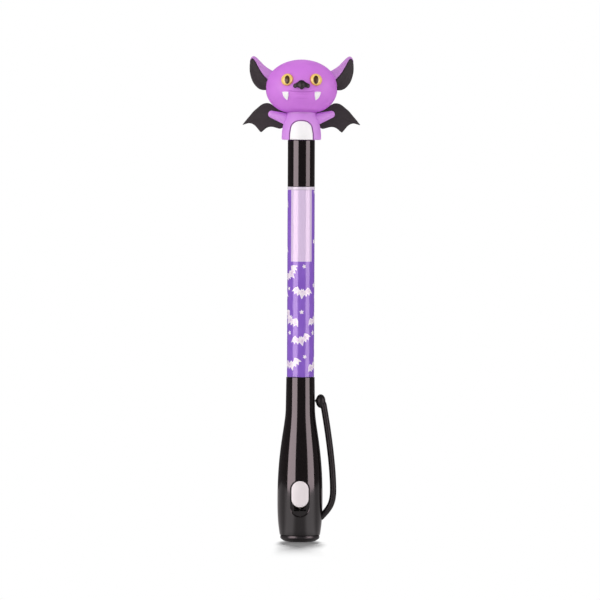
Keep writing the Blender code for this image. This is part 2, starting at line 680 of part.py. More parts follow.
def make_inner_cap():
    """The soft cup in the cap's bore, whose lip closes round the nose and keeps the nib wet."""
    floor = INNER_CAP_Z + INNER_CAP_FLOOR
    inner = INNER_CAP_RADIUS - INNER_CAP_WALL
    lip = NOSE_BASE_RADIUS + FIT
    profile = [
        (0, floor),
        (inner, floor),
        (inner, INNER_CAP_TOP_Z - INNER_CAP_LIP),
        (lip, INNER_CAP_TOP_Z - INNER_CAP_LIP),
        (lip, INNER_CAP_TOP_Z),
        (INNER_CAP_RADIUS, INNER_CAP_TOP_Z),
        (INNER_CAP_RADIUS, INNER_CAP_Z),
        (0, INNER_CAP_Z),
    ]
    return turned("inner_cap", profile, "white_plastic", COARSE_STEPS)


def make_switch():
    """The button with its stem, the keeper behind the wall and the wiper that makes the contact."""
    button = plate("switch_button", stadium(BUTTON_WIDTH, BUTTON_LENGTH, SWITCH_Z),
                   -2 * CAP_BULB_RADIUS, -TRACK_FLOOR - FIT, "white_plastic")
    combine(button, "INTERSECT", cap_body("clip_button_front", BUTTON_PROUD))
    round_edges(button, BUTTON_ROUNDING)
    stem = box("join_switch_stem",
               (-STEM_WIDTH / 2, -TRACK_FLOOR - 2 * FIT, SWITCH_Z - STEM_LENGTH / 2),
               (STEM_WIDTH / 2, -KEEPER_FRONT - FIT, SWITCH_Z + STEM_LENGTH / 2), "white_plastic")
    combine(button, "UNION", stem)
    keeper = box("switch_keeper",
                 (-KEEPER_WIDTH / 2, -KEEPER_FRONT, SWITCH_Z - KEEPER_LENGTH / 2),
                 (KEEPER_WIDTH / 2, -KEEPER_FRONT + KEEPER_THICKNESS, SWITCH_Z + KEEPER_LENGTH / 2),
                 "white_plastic")
    wiper = box("switch_wiper",
                (-WIPER_WIDTH / 2, -WIPER_FRONT, SWITCH_Z - WIPER_LENGTH / 2),
                (WIPER_WIDTH / 2, -WIPER_FRONT + CONTACT_SHEET, SWITCH_Z + WIPER_LENGTH / 2),
                "brass")
    return [button, keeper, wiper]


def clip_hinge():
    """Lower inner edge of the clip's foot, which the clip bends about."""
    level = CAP_FOOT_Z + CLIP_ROOT_HEIGHT - CLIP_THICKNESS
    return Vector((cap_radius(level) + FIT, 0, level))


def make_clip():
    """The pocket clip: an oval arm from the bulb's side to a ball that rests on the neck."""
    root = (CAP_BULB_RADIUS - CLIP_THICKNESS / 2, CAP_FOOT_Z + CLIP_ROOT_HEIGHT)
    bend = (CAP_BULB_RADIUS + CLIP_STAND_OFF + CLIP_THICKNESS / 2, CAP_FOOT_Z + CLIP_BEND_HEIGHT)
    ball_z = CAP_MOUTH_Z - CLIP_BALL_DROP
    ball = (cap_radius(ball_z) + FIT + CLIP_BALL_RADIUS, ball_z)
    drop = bend[1] - root[1]
    foot = CLIP_FOOT_EASE * drop
    rise = ball[1] - bend[1]
    run = CLIP_TIP_EASE * rise
    curve = bpy.data.curves.new("pocket_clip", "CURVE")
    curve.dimensions = "3D"
    curve.bevel_depth = CLIP_THICKNESS / 2
    curve.bevel_resolution = 2
    curve.resolution_u = 8
    curve.render_resolution_u = 0
    curve.use_fill_caps = True
    spline = curve.splines.new("BEZIER")
    spline.bezier_points.add(2)
    end = (ball[0] + CLIP_THICKNESS / 3, ball[1])
    stations = (
        (root, (root[0] - foot, root[1] - foot), (root[0] + foot, root[1] + foot)),
        (bend, (bend[0], bend[1] - CLIP_BEND_EASE * drop), (bend[0], bend[1] + CLIP_ARM_EASE * rise)),
        (end, (end[0] + CLIP_TIP_LEAN * run, end[1] - run), (end[0], end[1] + run)),
    )
    for point, (place, before, after) in zip(spline.bezier_points, stations):
        point.handle_left_type = "FREE"
        point.handle_right_type = "FREE"
        point.co = (place[0], 0, place[1])
        point.handle_left = (before[0], 0, before[1])
        point.handle_right = (after[0], 0, after[1])
    source = bpy.data.objects.new("pocket_clip_route", curve)
    bpy.context.scene.collection.objects.link(source)
    source.scale.y = CLIP_BREADTH / CLIP_THICKNESS
    clip = add_part("pocket_clip", mesh_of(source, "pocket_clip"), "black_gloss")
    tip = ellipsoid("join_clip_ball", (CLIP_BALL_RADIUS, CLIP_BALL_RADIUS, CLIP_BALL_HALF_HEIGHT),
                    Matrix.Translation((ball[0], 0, ball[1])), "black_gloss", 16)
    combine(clip, "UNION", tip)
    combine(clip, "DIFFERENCE", cap_body("cut_clip_foot", FIT))
    return clip


# Pen

def make_barrel():
    """The tube that carries the sleeve: a thin front for the cap, a collar behind the sleeve."""
    profile = [
        (BARREL_BORE_RADIUS, COLLAR_TOP_Z),
        (COLLAR_RADIUS, COLLAR_TOP_Z),
        (COLLAR_RADIUS, COLLAR_Z),
        (BARREL_RADIUS, COLLAR_Z),
        (BARREL_RADIUS, SLEEVE_Z),
        (FRONT_RADIUS, SLEEVE_Z),
        (FRONT_RADIUS, BARREL_FRONT_Z),
        (BARREL_BORE_RADIUS, BARREL_FRONT_Z),
    ]
    return turned("barrel", profile, "white_plastic")


def make_label_sleeve():
    """The printed sleeve round the barrel."""
    inner = SLEEVE_RADIUS - SLEEVE_THICKNESS
    top = SLEEVE_Z + SLEEVE_LENGTH
    profile = [(inner, top), (SLEEVE_RADIUS, top), (SLEEVE_RADIUS, SLEEVE_Z), (inner, SLEEVE_Z)]
    return turned("label_sleeve", profile, "purple_film")


def make_nose_cone():
    """The nose: a plug in the barrel, a flange against its end and a cone round the nib."""
    spigot_top = NOSE_SEAT_Z + NOSE_SPIGOT
    profile = [
        (NIB_BORE_RADIUS, spigot_top),
        (PLUG_RADIUS, spigot_top),
        (PLUG_RADIUS, NOSE_SEAT_Z),
        (FRONT_RADIUS, NOSE_SEAT_Z),
        (FRONT_RADIUS, NOSE_BASE_Z),
        (NOSE_BASE_RADIUS, NOSE_BASE_Z),
        (NOSE_TIP_RADIUS, NOSE_TIP_Z),
        (NIB_BORE_RADIUS, NOSE_TIP_Z),
    ]
    return turned("nose_cone", profile, "white_plastic", COARSE_STEPS)


def make_nib():
    """The bullet nib, from its round tip back to the reservoir."""
    top = NOSE_SEAT_Z + NOSE_SPIGOT
    tip = arc((0, NIB_TIP_Z + NIB_RADIUS), NIB_RADIUS, 0, -90, 4)
    tip[-1] = (0, NIB_TIP_Z)
    return turned("nib", [(0, top), (NIB_RADIUS, top), *tip], "fibre", 16)


def make_ink_reservoir():
    """The fibre rod that holds the invisible ink, between the nose and the tail plug."""
    bottom = NOSE_SEAT_Z + NOSE_SPIGOT + FIT
    top = TAIL_Z - TAIL_SPIGOT - FIT
    return rod("ink_reservoir", PLUG_RADIUS, bottom, top, "fibre")


def make_tail_plug():
    """The black tail, with a plug down into the barrel and a peg up into the bat."""
    bottom = TAIL_Z - TAIL_SPIGOT
    peg_top = TAIL_TOP_Z + TAIL_PEG_LENGTH
    bore_top = peg_top - TAIL_PEG_END
    profile = [
        (0, peg_top),
        (TAIL_PEG_RADIUS, peg_top),
        (TAIL_PEG_RADIUS, TAIL_TOP_Z),
        (TAIL_RADIUS - TAIL_EDGE, TAIL_TOP_Z),
        (TAIL_RADIUS, TAIL_TOP_Z - TAIL_EDGE),
        (TAIL_RADIUS, TAIL_Z),
        (PLUG_RADIUS, TAIL_Z),
        (PLUG_RADIUS, bottom),
        (TAIL_BORE_RADIUS, bottom),
        (TAIL_BORE_RADIUS, bore_top),
        (0, bore_top),
    ]
    return turned("tail_plug", profile, "black_gloss")


# Bat

def torso_form(name, grow=0.0):
    """The body's outer shape without its neck peg, with its side grown outwards or, below 0, inwards.

    Either way the form reaches past both ends, so that it cuts right through.
    """
    top = TORSO_TOP_Z + abs(grow)
    bottom = TORSO_Z - abs(grow)
    flank = bezier(
        (TORSO_SHOULDER_RADIUS, TORSO_TOP_Z),
        (TORSO_SHOULDER_RADIUS + (TORSO_WAIST_RADIUS - TORSO_SHOULDER_RADIUS) / 2,
         TORSO_TOP_Z - TORSO_HEIGHT / 4),
        (TORSO_WAIST_RADIUS, TORSO_Z + TORSO_HEIGHT / 2),
        (TORSO_WAIST_RADIUS, TORSO_Z + TORSO_ROUNDING),
        7,
    )
    edge = TORSO_WAIST_RADIUS - TORSO_ROUNDING
    profile = [(0, top), (TORSO_SHOULDER_RADIUS + grow, top)]
    profile += [(radius + grow, z) for radius, z in flank[1:]]
    profile += [(edge + grow, bottom), (0, bottom)]
    return turned(name, profile, "purple_rubber", shape=TORSO_SHAPE)


def belly_outline(grow=0.0):
    """Arch of the belly's patch, as (x, z, kind) points."""
    base = BELLY_BASE + grow
    side = BELLY_SHOULDER + grow
    shoulder = TORSO_Z + BELLY_SHOULDER_HEIGHT
    crown = TORSO_Z + BELLY_HEIGHT + grow
    foot = TORSO_Z - 2 * FIT
    return [(-base, foot, CORNER), (-side, shoulder, SMOOTH), (0, crown, SMOOTH),
            (side, shoulder, SMOOTH), (base, foot, CORNER)]


def make_torso():
    """The bat's body, bored for the tail's peg, recessed for the belly, with a peg for the head."""
    torso = torso_form("bat_body")
    peg = turned("join_neck_peg",
                 [(0, TORSO_TOP_Z + NECK_PEG_LENGTH), (NECK_PEG_RADIUS, TORSO_TOP_Z + NECK_PEG_LENGTH),
                  (NECK_PEG_RADIUS, TORSO_TOP_Z - NECK_PEG_RADIUS),
                  (0, TORSO_TOP_Z - NECK_PEG_RADIUS)],
                 "purple_rubber", COARSE_STEPS, TORSO_SHAPE)
    combine(torso, "UNION", peg)
    bore = rod("cut_tail_peg", TAIL_PEG_RADIUS + FIT, TORSO_Z - FIT,
               TAIL_TOP_Z + TAIL_PEG_LENGTH + FIT, "purple_rubber")
    recess = plate("cut_belly_recess", belly_outline(FIT), -2 * TORSO_WAIST_RADIUS, 0,
                   "purple_rubber")
    combine(recess, "DIFFERENCE", torso_form("keep_under_belly", -BELLY_THICKNESS - FIT))
    return combine(torso, "DIFFERENCE", bore, recess)


def make_belly_patch():
    """The white patch, which follows the front of the body."""
    patch = plate("belly_patch", belly_outline(), -2 * TORSO_WAIST_RADIUS, 0, "white_paint")
    combine(patch, "INTERSECT", torso_form("clip_belly_front"))
    return combine(patch, "DIFFERENCE", torso_form("cut_belly_back", -BELLY_THICKNESS))


def make_arm(name, side):
    """A short tapered arm with a round hand, held out from the shoulder."""
    shoulder = Vector((side * ARM_SHOULDER_OUT, 0, TORSO_TOP_Z - ARM_SHOULDER_DROP))
    hand = Vector((side * ARM_HAND_OUT, 0, TORSO_TOP_Z - ARM_HAND_DROP))
    length = (hand - shoulder).length
    end = arc((0, length), ARM_HAND_RADIUS, 90, 0, 4)
    start = arc((0, 0), ARM_SHOULDER_RADIUS, 0, -90, 3)
    end[0] = (0, length + ARM_HAND_RADIUS)
    start[-1] = (0, -ARM_SHOULDER_RADIUS)
    arm = turned(name, end + start, "purple_rubber", 20)
    arm.location = shoulder
    arm.rotation_euler = (hand - shoulder).to_track_quat("Z", "Y").to_euler()
    return combine(arm, "DIFFERENCE", torso_form("cut_" + name, FIT))


def make_wing(name, side):
    """A flat scalloped wing behind the arm, swept back a little."""
    front = ARM_SHOULDER_RADIUS + FIT
    outline = placed(WING_OUTLINE, side, 0, TORSO_TOP_Z)
    wing = plate(name, outline, front, front + WING_THICKNESS, "black_matte")
    round_edges(wing, WING_ROUNDING)
    wing.rotation_euler.z = side * WING_SWEEP
    return combine(wing, "DIFFERENCE", torso_form("cut_body_" + name, FIT),
                   head_form("cut_head_" + name, FIT))


def head_radius(level):
    """Half the head's width at a level, on its upper or lower superellipse."""
    upper = level > HEAD_Z
    reach = HEAD_UPPER if upper else HEAD_LOWER
    power = HEAD_UPPER_POWER if upper else HEAD_LOWER_POWER
    share = min(abs(level - HEAD_Z) / reach, 1.0)
    return HEAD_HALF_WIDTH * (1 - share ** power) ** (1 / power)


def head_side(grow=0.0, count=9):
    """Side of the head from crown to chin, as (radius, z) pairs."""
    side = []
    for reach, power, sign in ((HEAD_UPPER, HEAD_UPPER_POWER, 1), (HEAD_LOWER, HEAD_LOWER_POWER, -1)):
        half = []
        for step in range(count + 1):
            turn = math.pi / 2 * step / count
            radius = HEAD_HALF_WIDTH * math.cos(turn) ** (2 / power)
            rise = reach * math.sin(turn) ** (2 / power)
            half.append((radius + grow * math.cos(turn), HEAD_Z + sign * (rise + grow * math.sin(turn))))
        half[-1] = (0, HEAD_Z + sign * (reach + grow))
        side += half[::-1] if sign > 0 else half[1:]
    return side


def head_form(name, grow=0.0):
    """The head's outer shape, grown outwards."""
    head = turned(name, head_side(grow), "purple_rubber", shape=HEAD_SHAPE)
    head.location.y = HEAD_SET_BACK
    return head


def face_frame(x, z):
    """Matrix of a place on the face: its origin on the surface, its -Y axis along the normal."""
    radius = head_radius(z)
    depth = math.sqrt(radius ** 2 - x ** 2)
    step = MM / 10
    slope = (head_radius(z + step) - head_radius(z - step)) / (2 * step)
    normal = Vector((x / radius, -depth / (HEAD_SHAPE * radius), -slope)).normalized()
    spot = Vector((x, HEAD_SET_BACK - HEAD_SHAPE * depth, z))
    turn = (-normal).to_track_quat("Y", "Z").to_matrix().to_4x4()
    return Matrix.Translation(spot) @ turn


def make_head():
    """The bat's head, with a socket for the neck's peg."""
    head = head_form("bat_head")
    top = TORSO_TOP_Z + NECK_PEG_LENGTH + FIT
    low = TORSO_TOP_Z - FIT
    radius = NECK_PEG_RADIUS + FIT
    socket = turned("cut_neck_socket", [(0, top), (radius, top), (radius, low), (0, low)],
                    "purple_rubber", COARSE_STEPS, (NECK_PEG_RADIUS * TORSO_SHAPE + FIT) / radius)
    return combine(head, "DIFFERENCE", socket)


def make_ear(side_name, side):
    """An ear: a purple shell behind, and the black inner ear sunk in its front."""
    front = HEAD_SET_BACK - EAR_DEPTH / 2
    back = HEAD_SET_BACK + EAR_DEPTH / 2
    inner_front = front + INNER_EAR_SUNK
    inner_back = inner_front + INNER_EAR_DEPTH
    outline = placed(EAR_OUTLINE, side, HEAD_HALF_WIDTH, HEAD_Z)
    inner_outline = placed(INNER_EAR_OUTLINE, side, HEAD_HALF_WIDTH, HEAD_Z)
    shell = plate("bat_ear_" + side_name, outline, front, back, "purple_rubber")
    round_edges(shell, EAR_ROUNDING)
    hollow = plate("cut_inner_ear_" + side_name, inner_outline, front - EAR_DEPTH, inner_back + FIT,
                   "purple_rubber", grow=FIT)
    combine(shell, "DIFFERENCE", hollow, head_form("cut_ear_root_" + side_name, FIT))
    inner = plate("bat_inner_ear_" + side_name, inner_outline, inner_front, inner_back,
                  "black_matte")
    combine(inner, "DIFFERENCE", head_form("cut_inner_ear_root_" + side_name, FIT))
    return [shell, inner]


def make_eye(side_name, side):
    """An eye: a yellow dome on the face and an upright pupil on the dome."""
    frame = face_frame(side * EYE_OUT, HEAD_Z + EYE_UP)
    eye = ellipsoid("bat_eye_" + side_name, (EYE_RADIUS, EYE_HEIGHT + FIT, EYE_RADIUS), frame,
                    "yellow_paint", 20)
    combine(eye, "DIFFERENCE", head_form("cut_eye_" + side_name, FIT))
    top = Matrix.Translation((0, -EYE_HEIGHT - FIT, 0)) @ frame
    pupil = ellipsoid("bat_pupil_" + side_name, (PUPIL_HALF_WIDTH, PUPIL_HEIGHT, PUPIL_HALF_HEIGHT),
                      top, "brown_paint", 12)
    grown = ellipsoid("cut_pupil_" + side_name,
                      (EYE_RADIUS + FIT, EYE_HEIGHT + 2 * FIT, EYE_RADIUS + FIT), frame,
                      "yellow_paint", 20)
    combine(pupil, "DIFFERENCE", grown)
    return [eye, pupil]


def on_face(name, outline, proud, colour):
    """A piece of even thickness that lies on the face inside an outline."""
    piece = plate(name, outline, -2 * HEAD_HALF_WIDTH, 0, colour)
    combine(piece, "INTERSECT", head_form("clip_" + name, proud + FIT))
    return combine(piece, "DIFFERENCE", head_form("cut_" + name, FIT))


def make_bat():
    """Every piece of the bat on the pen's tail."""
    pieces = [make_torso(), make_belly_patch(), make_head(),
              on_face("bat_nose", placed(NOSE_OUTLINE, 1, 0, HEAD_Z), NOSE_PROUD, "black_matte")]
    for side_name, side in SIDES:
        pieces.append(make_arm("bat_arm_" + side_name, side))
        pieces.append(make_wing("bat_wing_" + side_name, side))
        pieces += make_ear(side_name, side)
        pieces += make_eye(side_name, side)
        pieces.append(on_face("bat_fang_" + side_name, placed(FANG_OUTLINE, side, 0, HEAD_Z),
                              FANG_PROUD, "white_paint"))
    return pieces


# Assembly

def body_empty(name, place, parent, pieces):
    """Hang the pieces of one body on an empty at its joint, and the empty on its parent."""
    empty = bpy.data.objects.new(name, None)
    empty.location = place
    bpy.data.collections["invisible_ink_pen"].objects.link(empty)
    if parent is not None:
        empty.parent = parent
        empty.location -= parent.matrix_world.translation
    bpy.context.view_layer.update()
    for piece in pieces:
        piece.parent = empty
        piece.matrix_parent_inverse = empty.matrix_world.inverted()
    return empty


def main():
    """Build the pen, body by body."""
    clear_scene()
    new_collection("invisible_ink_pen")
    new_collection("cutters")
    module = body_empty("light_module", (0, 0, 0), None, make_light_module())
    cap = body_empty("cap", (0, 0, CAP_FOOT_Z), module, [make_cap_shell(), make_inner_cap()])
    body_empty("switch", (0, -TRACK_FLOOR, SWITCH_Z), cap, make_switch())
    body_empty("clip", clip_hinge(), cap, [make_clip()])
    pen = [make_barrel(), make_label_sleeve(), make_nose_cone(), make_nib(), make_ink_reservoir(),
           make_tail_plug(), *make_bat()]
    body_empty("pen", (0, 0, SLEEVE_Z), cap, pen)


main()
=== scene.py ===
"""Looks of the invisible ink pen: a capped marker with a light in its cap and a bat on its tail.

The pen stands on the light end of its cap. Z runs up it, the switch and the bat's face look
towards -Y, and the pocket clip is on the +X side. Sizes below are in millimetres, in the frame of
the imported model, and MM turns them into metres as each mesh is made.
"""

from __future__ import annotations

import logging
import math
from collections.abc import Callable, Iterator, Mapping, Sequence
from contextlib import contextmanager
from dataclasses import dataclass, field
from enum import Enum
from typing import Any

import bmesh
import bpy
import numpy as np
from mathutils import Matrix, Vector

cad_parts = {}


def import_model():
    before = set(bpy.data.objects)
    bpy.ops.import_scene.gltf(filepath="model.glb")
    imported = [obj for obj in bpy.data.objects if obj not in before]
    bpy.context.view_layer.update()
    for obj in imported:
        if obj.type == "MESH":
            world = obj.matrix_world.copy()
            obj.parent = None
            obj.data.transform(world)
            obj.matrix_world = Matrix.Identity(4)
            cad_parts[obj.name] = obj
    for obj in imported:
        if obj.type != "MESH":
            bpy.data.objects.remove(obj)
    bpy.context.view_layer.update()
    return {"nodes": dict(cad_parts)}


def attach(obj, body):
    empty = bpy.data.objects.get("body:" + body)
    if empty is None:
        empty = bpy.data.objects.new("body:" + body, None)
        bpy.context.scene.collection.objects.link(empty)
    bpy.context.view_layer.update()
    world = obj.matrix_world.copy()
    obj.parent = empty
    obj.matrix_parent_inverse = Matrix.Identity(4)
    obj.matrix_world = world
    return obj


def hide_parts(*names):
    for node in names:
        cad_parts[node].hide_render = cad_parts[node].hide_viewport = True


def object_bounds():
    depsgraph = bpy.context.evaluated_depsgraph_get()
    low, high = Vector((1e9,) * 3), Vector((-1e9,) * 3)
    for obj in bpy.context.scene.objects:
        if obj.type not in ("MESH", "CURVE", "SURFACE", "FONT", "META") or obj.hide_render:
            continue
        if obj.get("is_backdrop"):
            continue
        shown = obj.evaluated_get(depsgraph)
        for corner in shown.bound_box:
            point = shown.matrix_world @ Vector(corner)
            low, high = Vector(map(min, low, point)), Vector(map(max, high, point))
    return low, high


MM = 0.001
WELD = 1e-7                 # metres, under which two points of a new mesh are one
COPY_WELD = 1e-6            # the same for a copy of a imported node
COPY_FLAT = 1.0             # degrees, under which two faces of a copy are one
COPY_EASED = 40.0           # degrees, above which a copy's edge is eased
COPY_SHARP = 35.0           # degrees, above which a copy's edge is shaded sharp
SHARP = 50.0                # degrees, above which any other edge is shaded sharp
HANDLE = 2.5614             # divides a smooth point's handles, as on a circle's arc
DRAWN_IN = 0.6              # largest share of the way to a slab's centre that its edge takes

Array = np.ndarray
Colour = tuple[float, float, float]
Pair = tuple[float, float]
Surface = Callable[[Array, Array], Array]
Piece = bpy.types.Object
Material = bpy.types.Material
Nodes = Mapping[str, Piece]
Corners = Sequence[tuple[float, ...]]

log = logging.getLogger("invisible_ink_pen")


# Meshes from grids of points

class Ends(Enum):
    """How the first and the last ring of a skin are closed."""

    POLES = "each end ring is a single point"
    LOOP = "the last ring joins the first"


class Side(Enum):
    """A side of the bat as the photograph shows it, with its sign along X."""

    LEFT = -1
    RIGHT = 1

    @property
    def label(self) -> str:
        """The side's name in lower case."""
        return self.name.lower()


@contextmanager
def reworked(mesh: bpy.types.Mesh) -> Iterator[bmesh.types.BMesh]:
    """Open a mesh to bmesh's operators for a with block, then write the result back.

    Args:
        mesh: The mesh.

    Returns:
        Its editable form.
    """
    form = bmesh.new()
    form.from_mesh(mesh)
    yield form
    form.to_mesh(mesh)
    form.free()


def linked(name: str, data: bpy.types.ID) -> Piece:
    """A new object that shows this data, linked to the scene.

    Args:
        name: Its name.
        data: What it shows.

    Returns:
        The object.
    """
    thing = bpy.data.objects.new(name, data)
    bpy.context.scene.collection.objects.link(thing)
    return thing


def shaded(piece: Piece, sharp: float = SHARP) -> Piece:
    """The piece, shaded smooth save at edges that turn by more than this angle in degrees.

    Args:
        piece: The piece.
        sharp: Angle in degrees.

    Returns:
        The same piece.
    """
    piece.data.shade_smooth()
    piece.data.set_sharp_from_angle(angle=math.radians(sharp))
    return piece


def skin(name: str, rings: Array, ends: Ends = Ends.POLES,
         marks: Mapping[str, Array] | None = None) -> Piece:
    """Make an object from rings of points, each ring closed on itself.

    Formula: the point of row i and column j is joined to those of row i + 1 and of column j + 1,
    and the columns wrap round. Points that fall together are welded, and faces turned outwards.

    Args:
        name: The object's name.
        rings: Points in millimetres, as rows by columns by 3.
        ends: How the first and the last row are closed.
        marks: Values for each point, kept as attributes that a finish can read.

    Returns:
        The new object, linked to the scene.
    """
    rows, around = rings.shape[:2]
    index = np.arange(rows * around).reshape(rows, around)
    beside = np.roll(index, -1, axis=1)
    if ends is Ends.LOOP:
        faces = (index, beside, np.roll(beside, -1, axis=0), np.roll(index, -1, axis=0))
    else:
        faces = (index[:-1], beside[:-1], beside[1:], index[1:])
    quads = np.stack(faces, axis=-1).reshape(-1, 4)
    mesh = bpy.data.meshes.new(name)
    mesh.from_pydata((rings.reshape(-1, 3) * MM).tolist(), [], quads.tolist())
    for mark, values in (marks or {}).items():
        layer = mesh.attributes.new(mark, "FLOAT", "POINT")
        layer.data.foreach_set("value", np.ascontiguousarray(values, dtype=np.float32).ravel())
    with reworked(mesh) as form:
        bmesh.ops.remove_doubles(form, verts=form.verts, dist=WELD)
        if form.calc_volume(signed=True) < 0:
            bmesh.ops.reverse_faces(form, faces=form.faces)
    mesh.update()
    return shaded(linked(name, mesh))


def evaluated(piece: Piece) -> Piece:
    """Apply a piece's modifiers.

    Args:
        piece: An object with modifiers.

    Returns:
        The same object, with the result as its mesh and no modifier left.
    """
    bpy.context.view_layer.update()
    graph = bpy.context.evaluated_depsgraph_get()
    mesh = bpy.data.meshes.new_from_object(piece.evaluated_get(graph))
    piece.modifiers.clear()
    piece.data = mesh
    return piece


def eased_copy(node: Piece, name: str, easing: float) -> Piece:
    """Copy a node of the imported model, weld it and ease its sharp edges.

    Args:
        node: The node's object.
        name: The copy's name.
        easing: Width of the eased edges in millimetres.

    Returns:
        The copy, shaded smooth and with no modifier left.
    """
    piece = linked(name, node.data.copy())
    piece.data.materials.clear()
    with reworked(piece.data) as form:
        bmesh.ops.remove_doubles(form, verts=form.verts, dist=COPY_WELD)
        bmesh.ops.dissolve_limit(form, angle_limit=math.radians(COPY_FLAT), verts=form.verts,
                                 edges=form.edges)
    bevel = piece.modifiers.new("Eased edges", "BEVEL")
    bevel.width = easing * MM
    bevel.segments = 2
    bevel.limit_method = "ANGLE"
    bevel.angle_limit = math.radians(COPY_EASED)
    return shaded(evaluated(piece), COPY_SHARP)


# Profiles and outlines

def unit(vector: Array) -> Array:
    """A vector or rows of vectors at length 1."""
    return vector / np.linalg.norm(vector, axis=-1, keepdims=True)


def rounded(corners: Corners, closed: bool = False, steps: int = 5) -> Array:
    """Points of a profile whose corners are rounded.

    Formula: where the line turns by the angle a, an arc of radius r starts and ends r times the
    tangent of a / 2 from the corner, and its centre lies on the corner's bisector.

    Args:
        corners: (radius, z) or (radius, z, rounding) for each corner.
        closed: Whether the last corner is joined to the first.
        steps: Segments of each arc.

    Returns:
        The points, as rows of (radius, z).
    """
    places = np.array([corner[:2] for corner in corners], dtype=float)
    radii = [corner[2] if len(corner) > 2 else 0.0 for corner in corners]
    parts = []
    for number, (corner, radius) in enumerate(zip(places, radii)):
        end = not closed and number in (0, len(corners) - 1)
        if end or radius == 0:
            parts.append(corner[None])
            continue
        come = unit(places[number - 1] - corner)
        leave = unit(places[(number + 1) % len(corners)] - corner)
        turn = math.pi - math.acos(float(np.clip(come @ leave, -1, 1)))
        back = radius * math.tan(turn / 2)
        centre = corner + unit(come + leave) * radius / math.cos(turn / 2)
        first, last = corner + come * back - centre, corner + leave * back - centre
        share = np.linspace(0, 1, steps + 1)[:, None]
        parts.append(centre + (np.sin((1 - share) * turn) * first + np.sin(share * turn) * last)
                     / math.sin(turn))
    return np.concatenate(parts)


def supported(profile: Array, closed: bool = False, gap: float = 0.12, spacing: float = 2.0) -> Array:
    """Add points to the straight runs of a profile, so that smooth shading stays flat on them.

    Args:
        profile: Points in order, as rows of two numbers.
        closed: Whether the last point is joined to the first.
        gap: Distance of the first and last new point from the ends of a run.
        spacing: Largest distance between the others.

    Returns:
        The profile with the new points in their places.
    """
    parts = []
    following = np.roll(profile, -1, axis=0)
    for start, end in zip(profile, following if closed else following[:-1]):
        length = float(np.linalg.norm(end - start))
        if length > 3 * gap:
            inner = np.linspace(gap, length - gap, max(2, math.ceil(length / spacing) + 1))
            along = np.concatenate(([0.0], inner)) / length
        else:
            along = np.zeros(1)
        parts.append(start + along[:, None] * (end - start))
    if not closed:
        parts.append(profile[-1:])
    return np.concatenate(parts)


def turned(profile: Array, around: int = 96, depth: float = 1.0) -> Array:
    """Rings of a turned shape.

    Formula: at the turn t, a profile point (r, z) lies at (r cos t, depth r sin t, z).

    Args:
        profile: Points as rows of (radius, z).
        around: Points in each ring.
        depth: Depth along Y as a share of the width along X.

    Returns:
        Points as rows by columns by 3.
    """
    turn = math.pi / 2 + np.linspace(0, math.tau, around, endpoint=False)
    radius, height = profile[:, :1], profile[:, 1:]
    return np.stack((radius * np.cos(turn), depth * radius * np.sin(turn), height + 0 * turn), axis=-1)


def lathe(name: str, corners: Corners, around: int, ends: Ends = Ends.POLES,
          spacing: float = 2.0) -> Piece:
    """Make a turned piece.

    Args:
        name: Its name.
        corners: (radius, z) or (radius, z, rounding) for each corner of its profile.
        around: Points in each ring.
        ends: Whether the profile is closed or starts and ends on the axis.
        spacing: Largest distance between the points of a straight run.

    Returns:
        The piece.
    """
    closed = ends is Ends.LOOP
    profile = supported(rounded(corners, closed), closed, spacing=spacing)
    return skin(name, turned(profile, around), ends)


def closer_in_front(half: float, step: float, behind: int) -> Array:
    """Angles round a piece from its front, a step apart within a half angle and wider behind.

    Args:
        half: Angle from the front, in radians, up to which they lie close.
        step: Distance between two of the close ones.
        behind: Number of the others.

    Returns:
        The angles in order.
    """
    near = np.arange(-half, half, step)
    far = np.linspace(near[-1] + step, math.tau + near[0], behind, endpoint=False)
    return np.concatenate((near, far))


def round_end(share: Array, power: float = 2) -> Array:
    """Width of a round end: 0 where the share is -1 or 1 and full at 0, by (1 - share^power)^0.5."""
    return np.sqrt(np.clip(1 - share ** power, 0, 1))


def round_tip(radius: float, low: float, height: float, count: int, middle: float = 0.0) -> Array:
    """Quarter of an oval in a profile, from (middle + radius, low + height) in to (middle, low).

    Args:
        radius: Its size along the radius.
        low: Its lowest z.
        height: Its size along Z.
        count: Number of points.
        middle: Radius at its lowest point.

    Returns:
        Points as rows of (radius, z).
    """
    turn = np.linspace(0, math.pi / 2, count)[:, None]
    return np.concatenate((middle + radius * np.cos(turn), low + height * (1 - np.sin(turn))), axis=1)


def swept(path: Array, across: Array, deep: Array, around: int = 32) -> Array:
    """Rings of an oval carried along a path in the XZ plane.

    Formula: the ring at a path point is an oval in the plane square to the path there, with one
    half axis in the XZ plane and the other along Y.

    Args:
        path: Points as rows of (x, z).
        across: Half width of the oval in the XZ plane at each point.
        deep: Half width along Y at each point.
        around: Points in each ring.

    Returns:
        Points as rows by columns by 3.
    """
    along = unit(np.gradient(path, axis=0))
    square = np.stack((along[:, 1], -along[:, 0]), axis=-1)
    turn = np.linspace(0, math.tau, around, endpoint=False)
    flat = path[:, None] + (across[:, None] * np.cos(turn))[..., None] * square[:, None]
    depth = deep[:, None] * np.sin(turn)
    return np.stack((flat[..., 0], depth, flat[..., 1]), axis=-1)


def cubic(t: Array, start: Array, leave: Array, arrive: Array, end: Array) -> Array:
    """Points at t of a cubic Bezier curve: weights (1-t)^3, 3t(1-t)^2, 3t^2(1-t) and t^3."""
    return ((1 - t) ** 3 * start + 3 * t * (1 - t) ** 2 * leave + 3 * t ** 2 * (1 - t) * arrive
            + t ** 3 * end)


def bezier(start: Sequence[float], leave: Sequence[float], arrive: Sequence[float],
           end: Sequence[float], count: int) -> Array:
    """A number of points, as rows, along the cubic Bezier curve of these four places."""
    places = np.array((start, leave, arrive, end), dtype=float)
    return cubic(np.linspace(0, 1, count)[:, None], *places)


